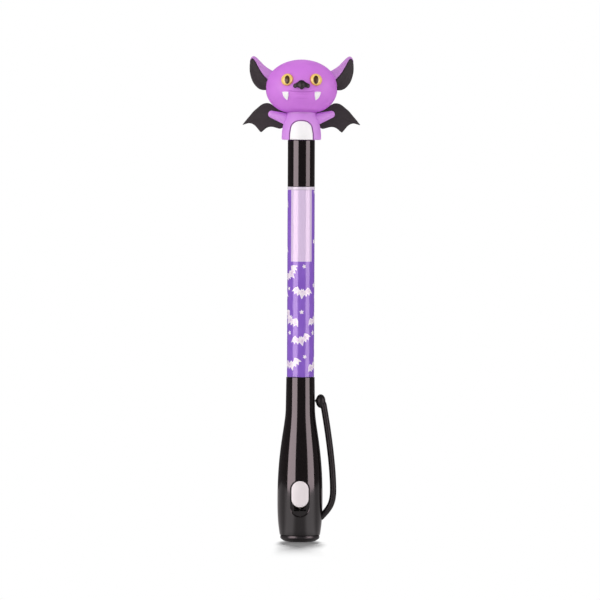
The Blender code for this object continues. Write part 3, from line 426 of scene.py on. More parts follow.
def run_along(path: Array) -> Array:
    """Distance of each point of a path from its start, along the path."""
    return np.concatenate(([0.0], np.cumsum(np.linalg.norm(np.diff(path, axis=0), axis=1))))


def even(outline: Array, count: int) -> Array:
    """Points at equal distances along a closed outline.

    Args:
        outline: Points of the outline.
        count: Number of points wanted.

    Returns:
        The new points, the first in the place of the old first.
    """
    ring = np.concatenate((outline, outline[:1]))
    run = run_along(ring)
    places = np.linspace(0, run[-1], count, endpoint=False)
    return np.stack([np.interp(places, run, ring[:, axis]) for axis in (0, 1)], axis=-1)


def mirrored(half: Sequence[Pair]) -> Array:
    """Closed outline from its right half, whose first and last point lie on the middle line."""
    right = np.array(half)
    return np.concatenate((right, (right * (-1, 1))[-2:0:-1]))


def flowing(points: Sequence[Pair] | Array, corners: Sequence[int], count: int, soften: float) -> Array:
    """Closed outline through points, smooth at most and cornered at some.

    Formula: each span is a cubic Bezier curve. A smooth point's handles lie along the sum of the
    unit vectors that come to it and leave it, and a corner's point a third of the way to its
    neighbours. The points are then evened out and averaged with their neighbours, with weights
    that fall off as a bell curve.

    Args:
        points: (x, z) for each point.
        corners: Numbers of the points that are corners, from 0.
        count: Number of points of the result.
        soften: Width of the bell curve in millimetres, which rounds the corners.

    Returns:
        Points as rows of (x, z).
    """
    place = np.array(points, dtype=float)
    corner = np.isin(np.arange(len(place)), corners)[:, None]
    come = place - np.roll(place, 1, axis=0)
    leave = np.roll(place, -1, axis=0) - place
    come_length = np.linalg.norm(come, axis=1, keepdims=True)
    leave_length = np.linalg.norm(leave, axis=1, keepdims=True)
    heading = come / come_length + leave / leave_length
    stretch = HANDLE * np.linalg.norm(heading, axis=1, keepdims=True)
    before = np.where(corner, place - come / 3, place - heading * come_length / stretch)
    after = np.where(corner, place + leave / 3, place + heading * leave_length / stretch)
    share = np.linspace(0, 1, 24, endpoint=False)[None, :, None]
    spans = cubic(share, place[:, None], after[:, None], np.roll(before, -1, axis=0)[:, None],
                  np.roll(place, -1, axis=0)[:, None])
    outline = even(spans.reshape(-1, 2), count)
    step = np.linalg.norm(np.roll(outline, -1, axis=0) - outline, axis=1).mean()
    reach = math.ceil(3 * soften / step)
    offsets = np.arange(-reach, reach + 1)
    weights = np.exp(-0.5 * (offsets * step / soften) ** 2)
    shifted = np.stack([np.roll(outline, offset, axis=0) for offset in offsets])
    return np.tensordot(weights / weights.sum(), shifted, axes=1)


def oval(width: float, length: float, level: float, count: int = 160) -> Array:
    """Upright oval with straight sides.

    Formula: two half circles of the width's radius, joined by straight lines.

    Args:
        width: Its size along X.
        length: Its size along Z.
        level: Height of its centre.
        count: Number of points.

    Returns:
        Points as rows of (x, z).
    """
    radius = width / 2
    turn = np.linspace(0, math.pi, 60)
    upper = np.stack((radius * np.cos(turn), radius * np.sin(turn) + length / 2 - radius), axis=-1)
    return even(np.concatenate((upper, -upper)), count) + (0, level)


def inside_distance(places: Array, outline: Array) -> Array:
    """Distance of places in a plane from a closed outline, above 0 inside it.

    Formula: the least distance to any side, with the sign of the even-odd rule.

    Args:
        places: Points as rows of two numbers.
        outline: Corners of the outline.

    Returns:
        One distance for each place.
    """
    start, end = outline[None], np.roll(outline, -1, axis=0)[None]
    side, reach = end - start, places[:, None] - start
    share = np.clip((reach * side).sum(-1) / (side ** 2).sum(-1), 0, 1)
    distance = np.linalg.norm(reach - share[..., None] * side, axis=-1).min(axis=1)
    above = places[:, None, 1] < start[..., 1]
    crosses = above != (places[:, None, 1] < end[..., 1])
    lift = np.where(side[..., 1] == 0, 1.0, side[..., 1])
    left = places[:, None, 0] < start[..., 0] + side[..., 0] * reach[..., 1] / lift
    odd = (crosses & left).sum(axis=1) % 2 == 1
    return np.where(odd, distance, -distance)


def depth_inside(x: Array, z: Array, outline: Array) -> Array:
    """Distance into an outline, as inside_distance gives it, for grids of x and z."""
    return inside_distance(np.stack((x, z), -1).reshape(-1, 2), outline).reshape(x.shape)


def ramp(value: Array, low: float, high: float) -> Array:
    """Smooth step from 0 at low to 1 at high, 3s^2 - 2s^3 of the share s between them."""
    share = np.clip((value - low) / (high - low), 0, 1)
    return share * share * (3 - 2 * share)


def plane(y: float) -> Surface:
    """The plane at this Y."""
    return lambda x, z: 0 * x + y


def slab(outline: Array, centre: Sequence[float], front: Surface, back: Surface, edge: float,
         back_edge: float | None = None, fine: int = 7, coarse: int = 16) -> Array:
    """Rings of a plate between two surfaces, with rounded edges.

    Formula: a ring is the outline drawn in towards the centre. Near the rim it is drawn in by
    edge (1 - cos b) and lies edge (1 - sin b) behind the face, for b from 0 to 90 degrees, and
    the rings further in shrink evenly to the centre.

    Args:
        outline: Points as rows of (x, z), all seen from the centre.
        centre: (x, z) that the rings shrink to.
        front: Y of the front face at (x, z).
        back: Y of the back face at (x, z).
        edge: Rounding of the front edge.
        back_edge: Rounding of the back edge, the same if left out.
        fine: Rings in each rounded edge.
        coarse: Rings across each face.

    Returns:
        Points as rows by columns by 3, from the middle of the back to the middle of the front.
    """
    middle = np.asarray(centre, dtype=float)
    arm = outline - middle
    tangent = np.roll(outline, -1, axis=0) - np.roll(outline, 1, axis=0)
    normal = unit(np.stack((tangent[:, 1], -tangent[:, 0]), axis=-1))
    support = np.abs((arm * normal).sum(-1))

    def half(face: Surface, rounding: float, inward: float) -> Array:
        """Rings from the rim to the middle of one face.

        Args:
            face: Y of the face at (x, z).
            rounding: Rounding of its edge.
            inward: Direction into the plate, 1 or -1.

        Returns:
            Points as rows by columns by 3.
        """
        bend = np.linspace(0, math.pi / 2, fine + 1)[:, None]
        drawn = np.minimum(rounding * (1 - np.cos(bend)), DRAWN_IN * support)
        rim = 1 - drawn / support
        rest = rim[-1:] * np.linspace(1, 0, coarse + 1)[1:, None]
        scale = np.concatenate((rim, rest))
        sunk = np.concatenate((rounding * (1 - np.sin(bend)), np.zeros((coarse, 1))))
        flat = middle + scale[..., None] * arm
        depth = face(flat[..., 0], flat[..., 1]) + inward * sunk
        return np.stack((flat[..., 0], depth, flat[..., 1]), axis=-1)

    rear = half(back, edge if back_edge is None else back_edge, -1)
    return np.concatenate((rear[::-1], half(front, edge, 1)))


# Finishes

def srgb(red: int, green: int, blue: int) -> Colour:
    """Linear colour of three 8-bit screen values."""
    share = [value / 255 for value in (red, green, blue)]
    return tuple(v / 12.92 if v <= 0.04045 else ((v + 0.055) / 1.055) ** 2.4 for v in share)


def toned(colour: Colour, factor: float) -> Colour:
    """A colour made lighter or darker by a factor."""
    return tuple(min(1.0, factor * c) for c in colour)


def maths(operation: str, flipped: bool = False) -> Callable[[Socket, Any], Socket]:
    """Make an operator for Socket, which adds a Math node.

    Args:
        operation: The Math node's operation.
        flipped: Whether the other value comes before the socket.

    Returns:
        The operator.
    """
    def operator(this: Socket, other: Socket | float) -> Socket:
        """The Math node's output for these two."""
        first, second = (other, this) if flipped else (this, other)
        return this.paint.node("Math", {"operation": operation}, {0: first, 1: second})

    return operator


class Socket:
    """An output of a shader node. Arithmetic on it adds Math nodes."""

    __add__ = __radd__ = maths("ADD")
    __mul__ = __rmul__ = maths("MULTIPLY")
    __sub__ = maths("SUBTRACT")
    __rsub__ = maths("SUBTRACT", flipped=True)
    __truediv__ = maths("DIVIDE")
    __pow__ = maths("POWER")
    at_least = maths("MAXIMUM")
    at_most = maths("MINIMUM")

    def __init__(self, paint: Paint, socket: bpy.types.NodeSocket) -> None:
        """Wrap an output of a node in a node tree."""
        self.paint = paint
        self.socket = socket

    def clipped(self) -> Socket:
        """The value held between 0 and 1."""
        return self.at_least(0.0).at_most(1.0)

    def step(self, low: float, high: float) -> Socket:
        """0 up to low, 1 from high, and smooth between them."""
        return self.paint.node("MapRange", {"interpolation_type": "SMOOTHSTEP"},
                               {"Value": self, "From Min": low, "From Max": high})


class Paint:
    """The node tree of a material or of the world, and the means to add nodes to it."""

    def __init__(self, name: str, world: bool = False) -> None:
        """Start a material, or a world, with its output and no other node.

        Args:
            name: Its name.
            world: Whether it is a world.
        """
        self.owner = (bpy.data.worlds if world else bpy.data.materials).new(name)
        self.owner.use_nodes = True
        self.tree = self.owner.node_tree
        self.tree.nodes.clear()
        self.output = self.tree.nodes.new(f"ShaderNodeOutput{'World' if world else 'Material'}")

    def node(self, kind: str, settings: Mapping[str, Any] | None = None,
             values: Mapping[str | int, Any] | None = None, output: str | int = 0) -> Socket:
        """Add a node.

        Args:
            kind: The node's type, without ShaderNode before it.
            settings: Its properties.
            values: A number, colour or Socket for each of its inputs, by name or number.
            output: The output wanted, by name or number.

        Returns:
            That output.
        """
        node = self.tree.nodes.new(f"ShaderNode{kind}")
        for key, setting in (settings or {}).items():
            setattr(node, key, setting)
        for key, value in (values or {}).items():
            if isinstance(value, Socket):
                self.tree.links.new(value.socket, node.inputs[key])
            else:
                node.inputs[key].default_value = value
        return Socket(self, node.outputs[output])

    def finish(self, shader: Socket) -> Material | bpy.types.World:
        """The material or world, with this shader as its surface."""
        self.tree.links.new(shader.socket, self.output.inputs["Surface"])
        return self.owner

    def axis(self, name: str) -> Socket:
        """One coordinate, X, Y or Z, of the point on the piece, in metres."""
        source = self.node("TexCoord", output="Object")
        return self.node("SeparateXYZ", None, {0: source}, name)

    def noise(self, size: float, detail: float = 2.0, stretch: Sequence[float] = (1, 1, 1),
              shift: Sequence[float] = (0, 0, 0)) -> Socket:
        """Cloudy value round 0.5.

        Args:
            size: Width of its clouds in millimetres.
            detail: How many finer layers it has.
            stretch: How much closer they lie along each axis.
            shift: Where the pattern starts.

        Returns:
            The noise's value.
        """
        source = self.node("TexCoord", output="Object")
        scale = tuple(factor / (size * MM) for factor in stretch)
        place = self.node("Mapping", None, {"Vector": source, "Scale": scale, "Location": shift})
        return self.node("TexNoise", None, {"Vector": place, "Scale": 1.0, "Detail": detail})

    def mark(self, name: str) -> Socket:
        """An attribute's value at the point."""
        return self.node("Attribute", {"attribute_name": name}, output="Fac")

    def rays(self, *kinds: str) -> list[Socket]:
        """For each kind of ray, 1 where the ray is of that kind."""
        return [self.node("LightPath", output=f"Is {kind} Ray") for kind in kinds]

    def mix(self, first: Socket | Colour, second: Socket | Colour, share: Socket | float) -> Socket:
        """Colour that goes from the first to the second as the share goes from 0 to 1."""
        colours = [c if isinstance(c, Socket) else (*c, 1.0) for c in (first, second)]
        return self.node("Mix", {"data_type": "RGBA"}, {0: share, 6: colours[0], 7: colours[1]}, 2)

    def bump(self, height: Socket, depth: float) -> Socket:
        """Normal of a surface that rises by a depth in millimetres as the height goes from 0 to 1."""
        return self.node("Bump", None, {"Height": height, "Strength": 1.0, "Distance": depth * MM})

    def glow(self, colour: Colour, strength: float) -> Socket:
        """Shader that shines in a colour, 1 being plain white."""
        return self.node("Emission", None, {"Color": (*colour, 1), "Strength": strength})

    def shift(self, share: Socket, first: Socket, second: Socket) -> Socket:
        """Shader that goes from the first to the second as the share goes from 0 to 1."""
        return self.node("MixShader", None, {0: share, 1: first, 2: second})

    def surface(self, **values: Any) -> Material:
        """The material, with these inputs of a Principled shader, underscores standing for spaces."""
        named = {key.replace("_", " "): value for key, value in values.items()}
        return self.finish(self.node("BsdfPrincipled", None, named, "BSDF"))


@dataclass(frozen=True)
class Moulding:
    """Hard moulded plastic: nearly even colour, a faint ripple, and rubbed patches."""

    name: str
    colour: Colour
    roughness: float = 0.16
    rubbed: float = 0.10
    ripple: float = 0.0012
    refraction: float = 1.5

    def material(self) -> Material:
        """The plastic's material.

        Returns:
            The material.
        """
        paint = Paint(self.name)
        clouds = paint.noise(9.0, 3.0)
        scuffs = paint.noise(0.35, 2.0, (1, 1, 0.12), (3.1, 0.7, 0)).step(0.58, 0.78)
        tone = paint.mix(toned(self.colour, 0.93), toned(self.colour, 1.07), clouds)
        rough = self.roughness + self.rubbed * (clouds.step(0.45, 0.85) * 0.4 + scuffs * 0.6)
        height = paint.noise(3.2, 1.0) + paint.noise(0.22, 2.0) * 0.04
        return paint.surface(Base_Color=tone, Roughness=rough, IOR=self.refraction,
                             Normal=paint.bump(height, self.ripple))


@dataclass(frozen=True)
class SoftVinyl:
    """Soft matte vinyl of a moulded figure, deeper in tone in patches and, if asked, with shade painted
    into its creases.

    The creases, where the piece's crease attribute is 1, are given painted shade.
    """

    name: str
    colour: Colour
    deep: Colour
    roughness: float = 0.55
    grain: float = 0.012
    refraction: float = 1.45
    cloud: float = 5.0
    # colour of the painted shade in creases
    shaded_crease: Colour | None = None

    def material(self) -> Material:
        """The vinyl's material.

        Returns:
            The material.
        """
        paint = Paint(self.name)
        clouds = paint.noise(self.cloud, 4.0)
        grain = paint.noise(0.22, 3.0)
        tone = paint.mix(self.deep, self.colour, clouds.step(0.25, 0.62) * 0.75 + grain * 0.25)
        # painted shade in the creases, over the vinyl's own tone
        if self.shaded_crease:
            tone = paint.mix(tone, self.shaded_crease, paint.mark("shaded_crease").clipped() * 0.8)
        rough = self.roughness + (clouds - 0.5) * 0.18 + (grain - 0.5) * 0.10
        return paint.surface(Base_Color=tone, Roughness=rough.clipped(), IOR=self.refraction,
                             Normal=paint.bump(grain + clouds * 2.0, self.grain))


@dataclass(frozen=True)
class RimmedPaint:
    """Satin paint with a darker rim, from the rim attribute that goes from 0 to 1 at the edge."""

    name: str
    colour: Colour
    # colour of the middle; the pupil's lighter middle is a painted highlight
    middle: Colour
    rim: Colour
    rim_start: float

    def material(self) -> Material:
        """The paint's material.

        Returns:
            The material.
        """
        paint = Paint(self.name)
        edge = paint.mark("rim")
        brush = paint.noise(0.5, 3.0)
        tone = paint.mix(self.middle, self.colour, edge.step(0.0, self.rim_start * 0.8))
        tone = paint.mix(tone, self.rim, (edge + (brush - 0.5) * 0.06).step(self.rim_start, 1.0))
        return paint.surface(Base_Color=tone, Roughness=0.38 + (brush - 0.5) * 0.2, IOR=1.48,
                             Normal=paint.bump(brush, 0.01))


@dataclass(frozen=True)
class PrintedFilm:
    """Glossy label film: a purple ground, white motifs and a plain pale panel."""

    name: str
    ground: Colour
    deep_ground: Colour
    motif: Colour
    pale_motif: Colour
    panel: Colour

    def material(self) -> Material:
        """The film's material. Its motif and panel attributes are distances in millimetres.

        Returns:
            The material.
        """
        paint = Paint(self.name)
        clouds = paint.noise(7.0, 3.0)
        screen = paint.noise(0.16, 1.0)
        wash = paint.noise(1.1, 3.0).step(0.38, 0.66)
        ground = paint.mix(self.deep_ground, self.ground, clouds.step(0.3, 0.7))
        inside = paint.mark("motif").step(0.05, 0.5)
        ink = paint.mix(self.motif, self.pale_motif, inside * (0.25 + 0.75 * wash))
        shape = (paint.mark("motif") + (screen - 0.5) * 0.05).step(-0.04, 0.05)
        card = (paint.mark("panel") + (screen - 0.5) * 0.03).step(-0.04, 0.04)
        tone = paint.mix(paint.mix(ground, ink, shape), self.panel, card)
        height = paint.noise(3.0, 1.0) + paint.noise(0.3, 2.0) * 0.05 + shape * 0.3
        return paint.surface(Base_Color=tone, Roughness=0.15 + clouds * 0.06, IOR=1.5,
                             Normal=paint.bump(height, 0.0012))


@dataclass(frozen=True)
class PlatedMetal:
    """Plated sheet or wire, finely drawn, with dull patches."""

    name: str
    colour: Colour
    roughness: float = 0.24

    def material(self) -> Material:
        """The metal's material.

        Returns:
            The material.
        """
        paint = Paint(self.name)
        drawn = paint.noise(0.25, 3.0, (1, 1, 0.08))
        dull = paint.noise(2.5, 3.0).step(0.4, 0.8)
        tone = paint.mix(self.colour, toned(self.colour, 0.72), dull * 0.6)
        rough = self.roughness + dull * 0.18 + (drawn - 0.5) * 0.12
        return paint.surface(Base_Color=tone, Roughness=rough.clipped(), Metallic=1.0,
                             Normal=paint.bump(drawn, 0.004))


@dataclass(frozen=True)
class CellMetal:
    """A button cell's plated can, with a dark seal where the seal attribute is 1."""

    name: str
    colour: Colour
    seal: Colour

    def material(self) -> Material:
        """The can's material.

        Returns:
            The material.
        """
        paint = Paint(self.name)
        seal = paint.mark("seal").step(0.4, 0.6)
        drawn = paint.noise(0.2, 3.0, (1, 1, 4))
        dull = paint.noise(1.8, 4.0).step(0.42, 0.8)
        plate = paint.mix(self.colour, toned(self.colour, 0.7), dull * 0.5)
        rough = 0.2 + dull * 0.2 + (drawn - 0.5) * 0.1 + seal * 0.3
        return paint.surface(Base_Color=paint.mix(plate, self.seal, seal), Roughness=rough.clipped(),
                             Metallic=1.0 - seal, Normal=paint.bump(drawn, 0.003))


@dataclass(frozen=True)
class ClearEpoxy:
    """Clear, faintly violet epoxy of the light's body."""

    name: str
    tint: Colour
    haze: Colour

    def material(self) -> Material:
        """The epoxy's material.

        Returns:
            The material.
        """
        paint = Paint(self.name)
        haze = paint.noise(1.4, 3.0)
        return paint.surface(Base_Color=paint.mix(self.tint, self.haze, haze), Roughness=0.03 + haze * 0.04,
                             IOR=1.52, Transmission_Weight=1.0, Normal=paint.bump(haze, 0.002))


@dataclass(frozen=True)
class BondedFibre:
    """Bonded fibre that runs along the pen, streaked and dull."""

    name: str
    colour: Colour
    shade: Colour

    def material(self) -> Material:
        """The fibre's material.

        Returns:
            The material.
        """
        paint = Paint(self.name)
        strands = paint.noise(0.06, 3.0, (1, 1, 0.03))
        tone = paint.mix(self.shade, self.colour, strands.step(0.3, 0.6))
        return paint.surface(Base_Color=tone, Roughness=0.85 + (strands - 0.5) * 0.2, IOR=1.4,
                             Normal=paint.bump(strands, 0.02))


Finish = (Moulding | SoftVinyl | RimmedPaint | PrintedFilm | PlatedMetal | CellMetal | ClearEpoxy
          | BondedFibre)

BLACK_GLOSS = Moulding("black_gloss_plastic", srgb(17, 12, 13), 0.09, 0.07)
BLACK_SATIN = Moulding("black_satin_plastic", srgb(17, 15, 16), 0.42, 0.08, 0.003, 1.31)
BLACK_RIM = Moulding("black_rim_plastic", srgb(41, 37, 39), 0.27, 0.08, 0.003, 1.42)
BLACK_CRADLE = Moulding("black_matte_plastic", srgb(46, 45, 46), 0.5, 0.15, 0.006)
WHITE_BARREL = Moulding("pale_barrel_plastic", srgb(224, 211, 229), 0.3, 0.12, 0.002)
WHITE_SWITCH = Moulding("white_switch_plastic", srgb(236, 227, 229), 0.36, 0.12, 0.004)
# The crease colours of the head and the body are painted shade: under the head, in the mouth and round the
# belly's patch.
PURPLE_FACE = SoftVinyl("purple_head_vinyl", srgb(217, 125, 233), srgb(209, 116, 227), cloud=6.0,
                        shaded_crease=srgb(176, 86, 194))
PURPLE_TORSO = SoftVinyl("purple_torso_vinyl", srgb(220, 147, 237), srgb(212, 138, 231), cloud=6.0,
                         shaded_crease=srgb(116, 62, 126))
PURPLE_BODY = SoftVinyl("purple_body_vinyl", srgb(220, 147, 237), srgb(212, 138, 231))
PURPLE_EAR = SoftVinyl("purple_ear_vinyl", srgb(202, 137, 215), srgb(194, 127, 207))
BLACK_VINYL = SoftVinyl("black_vinyl", srgb(55, 50, 52), srgb(49, 44, 47), 0.78, 0.012, 1.34)
NOSE_VINYL = SoftVinyl("nose_vinyl", srgb(27, 23, 25), srgb(20, 17, 19), 0.5, 0.012, 1.4)
WHITE_VINYL = SoftVinyl("white_vinyl", srgb(255, 253, 254), srgb(252, 250, 251), 0.5, 0.008)
EYE_PAINT = RimmedPaint("yellow_eye_paint", srgb(250, 212, 112), srgb(253, 224, 142),
                        srgb(220, 138, 80), 0.86)
# the lighter middle colour is a painted highlight
PUPIL_PAINT = RimmedPaint("brown_pupil_paint", srgb(72, 42, 0), srgb(84, 52, 18), srgb(62, 34, 0), 0.7)
LABEL_FILM = PrintedFilm("printed_label_film", srgb(141, 98, 202), srgb(135, 91, 198),
                         srgb(252, 242, 247), srgb(219, 192, 226), srgb(222, 198, 231))
NICKEL = PlatedMetal("nickel_plate", (0.72, 0.70, 0.67))
BRASS = PlatedMetal("brass_strip", (0.80, 0.60, 0.32), 0.28)
CELL_CAN = CellMetal("cell_can", (0.74, 0.73, 0.71), srgb(60, 84, 96))
LENS = ClearEpoxy("violet_clear_epoxy", (0.86, 0.85, 0.97), (0.95, 0.95, 0.99))
FIBRE = BondedFibre("bonded_fibre", srgb(247, 246, 240), srgb(222, 220, 212))


class Wardrobe:
    """Makes each finish's material once and dresses pieces in them."""

    def __init__(self) -> None:
        """Start with no material made."""
        self.made: dict[str, Material] = {}

    def dress(self, body: str, piece: Piece, finish: Finish, slot: str, *nodes: str) -> None:
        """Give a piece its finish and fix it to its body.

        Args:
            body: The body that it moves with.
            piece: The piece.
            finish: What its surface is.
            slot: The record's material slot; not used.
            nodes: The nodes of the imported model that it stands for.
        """
        if finish.name not in self.made:
            self.made[finish.name] = finish.material()
        piece.data.materials.clear()
        piece.data.materials.append(self.made[finish.name])
        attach(piece, body)
        if nodes:
            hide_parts(*nodes)
        log.info("%s: %d faces on %s", piece.name, len(piece.data.polygons), body)

    def dress_copies(self, body: str, nodes: Nodes,
                     *rows: tuple[str, str, float, Finish, str]) -> None:
        """Dress copies of nodes, from rows of node, name, easing in millimetres, finish and slot."""
        for node, name, easing, finish, slot in rows:
            self.dress(body, eased_copy(nodes[node], name, easing), finish, slot, node)


WARDROBE = Wardrobe()


# Light module

@dataclass
class LightModule:
    """The bezel that the pen stands on, the light and the stack of cells above it."""

    nodes: Nodes
    bezel_radius: float = 7.1
    bezel_height: float = 2.27
    bezel_face: float = 1.5
    tube_bore: float = 2.8
    tube_radius: float = 3.7
    tube_top: float = 7.9
    spigot_bore: float = 5.1
    spigot_radius: float = 6.0
    spigot_top: float = 6.0
    light_radius: float = 2.5
    light_flange: float = 2.9
    light_tip: float = 0.6
    light_top: float = 9.2
    flange_height: float = 1.0
    lead_pitch: float = 2.54
    cup_floor: float = 4.7
    cup_rim: float = 3.9
    cup_top: float = 5.2
    cup_inset: float = 0.55     # from the post's middle to the cup's
    post_radius: float = 0.28
    post_margin: float = 0.3
    wire_radius: float = 0.04
    wire_sag: float = 0.9
    cell_radius: float = 3.95
    cell_height: float = 3.6
    cell_pitch: float = 3.9
    cells_base: float = 12.8
    cell_back: float = 0.9

    def bezel(self) -> Piece:
        """The bezel: a turned ring with rounded outer edges.

        Returns:
            The piece.
        """
        outer, spigot, tube = self.bezel_radius, self.spigot_radius, self.tube_radius
        corners = (
            (self.tube_bore, self.tube_top, 0.15), (tube, self.tube_top, 0.15),
            (tube, self.bezel_face, 0.1), (self.spigot_bore, self.bezel_face, 0.1),
            (self.spigot_bore, self.spigot_top, 0.2), (spigot, self.spigot_top, 0.3),
            (spigot, self.bezel_height, 0.05), (outer - 0.14, self.bezel_height, 0.2),
            (outer, 1.35, 0.5), (outer - 0.3, 0.85, 0.8), (outer - 1.6, 0, 1.6), (self.tube_bore, 0, 0.35),
        )
        return lathe("bezel_ring", corners, 160, Ends.LOOP)

    def lens(self) -> Piece:
        """The light's clear body: a turned flange, a cylinder and a round tip.

        Returns:
            The piece.
        """
        radius, flange, top = self.light_radius, self.light_flange, self.light_top
        tip = round_tip(radius, self.light_tip, radius, 16)
        corners = ((0, top), (flange, top, 0.12), (flange, top - self.flange_height, 0.12),
                   (radius, top - self.flange_height, 0.08), (radius, self.light_tip + radius))
        profile = np.concatenate((supported(rounded(corners))[:-1], tip))
        return skin("light_lens", turned(profile, 72))

    def lead_frame(self) -> list[Piece]:
        """What shows inside the clear body: a cupped post, a plain post and the wire between.

        Formula: the posts are straight and the wire sags by a half sine, both with blunt ends.

        Returns:
            The cup, the two posts and the wire.
        """
        half, floor, rim = self.lead_pitch / 2, self.cup_floor, self.cup_rim
        corners = ((0, self.cup_top), (0.55, self.cup_top, 0.1), (0.85, rim, 0.06), (0.7, rim, 0.03),
                   (0.4, floor, 0.05), (0, floor))
        cup = turned(supported(rounded(corners), gap=0.05), 40)
        cup[..., 1] += half - self.cup_inset
        levels = np.linspace(floor + self.post_margin, self.light_top - self.post_margin, 24)
        width = self.post_radius * round_end(np.linspace(-1, 1, 24), 8)
        posts = []
        for number, place in enumerate((half, -half), 1):
            post = swept(np.stack((np.zeros(24), levels), -1), width, width, 16)
            post[..., 1] += place
            posts.append(skin(f"light_post_{number}", post))
        run = np.linspace(0, 1, 30)
        arc = np.stack((-half + run * (self.lead_pitch - self.cup_inset),
                        floor + self.post_radius - self.wire_sag * np.sin(math.pi * run)), -1)
        thin = self.wire_radius * round_end(np.linspace(-1, 1, 30), 8)
        wire = swept(arc, thin, thin, 8)[..., (1, 0, 2)]
        return [skin("light_cup", cup), *posts, skin("light_bond_wire", wire)]

    def cell(self, number: int) -> Piece:
        """One button cell: a turned can, a seal and the smaller face below.

        Args:
            number: 1 for the lowest.

        Returns:
            The cell, with its seal marked.
        """
        base = self.cells_base + (number - 1) * self.cell_pitch
        top, edge = base + self.cell_height, self.cell_radius
        corners = ((0, top), (edge, top, 0.3), (edge, base + 0.75, 0.25), (edge - 0.42, base + 0.32, 0.1),
                   (edge - 0.5, base + 0.12, 0.05), (edge - 0.62, base + 0.12, 0.05),
                   (edge - 0.7, base, 0.12), (0, base))
        profile = supported(rounded(corners))
        radius, height = profile.T
        ring = (height < base + 0.3) & (radius > edge - 0.62) & (radius < edge - 0.4)
        rings = turned(profile, 96)
        seal = np.repeat(ring[:, None].astype(float), rings.shape[1], axis=1)
        rings[..., 1] += self.cell_back
        return skin(f"cell_can_{number}", rings, marks={"seal": seal})

    def build(self) -> None:
        """Make and dress every piece of the light module."""
        body = "light_module"
        WARDROBE.dress(body, self.bezel(), BLACK_RIM, "cap_black", "end_bezel")
        WARDROBE.dress(body, self.lens(), LENS, "light_lens", "uv_light")
        for piece in self.lead_frame():
            WARDROBE.dress(body, piece, NICKEL, "nickel")
        for number in (1, 2, 3):
            WARDROBE.dress(body, self.cell(number), CELL_CAN, "nickel", f"button_cell_{number}")
        WARDROBE.dress_copies(
            body, self.nodes,
            ("battery_cradle", "cell_holder", 0.15, BLACK_CRADLE, "cradle_black"),
            ("light_lead", "light_front_lead", 0.02, NICKEL, "nickel"),
            ("negative_contact", "negative_spring_disc", 0.06, BRASS, "brass"),
            ("positive_contact", "positive_strip", 0.08, BRASS, "brass"),
        )


# Cap

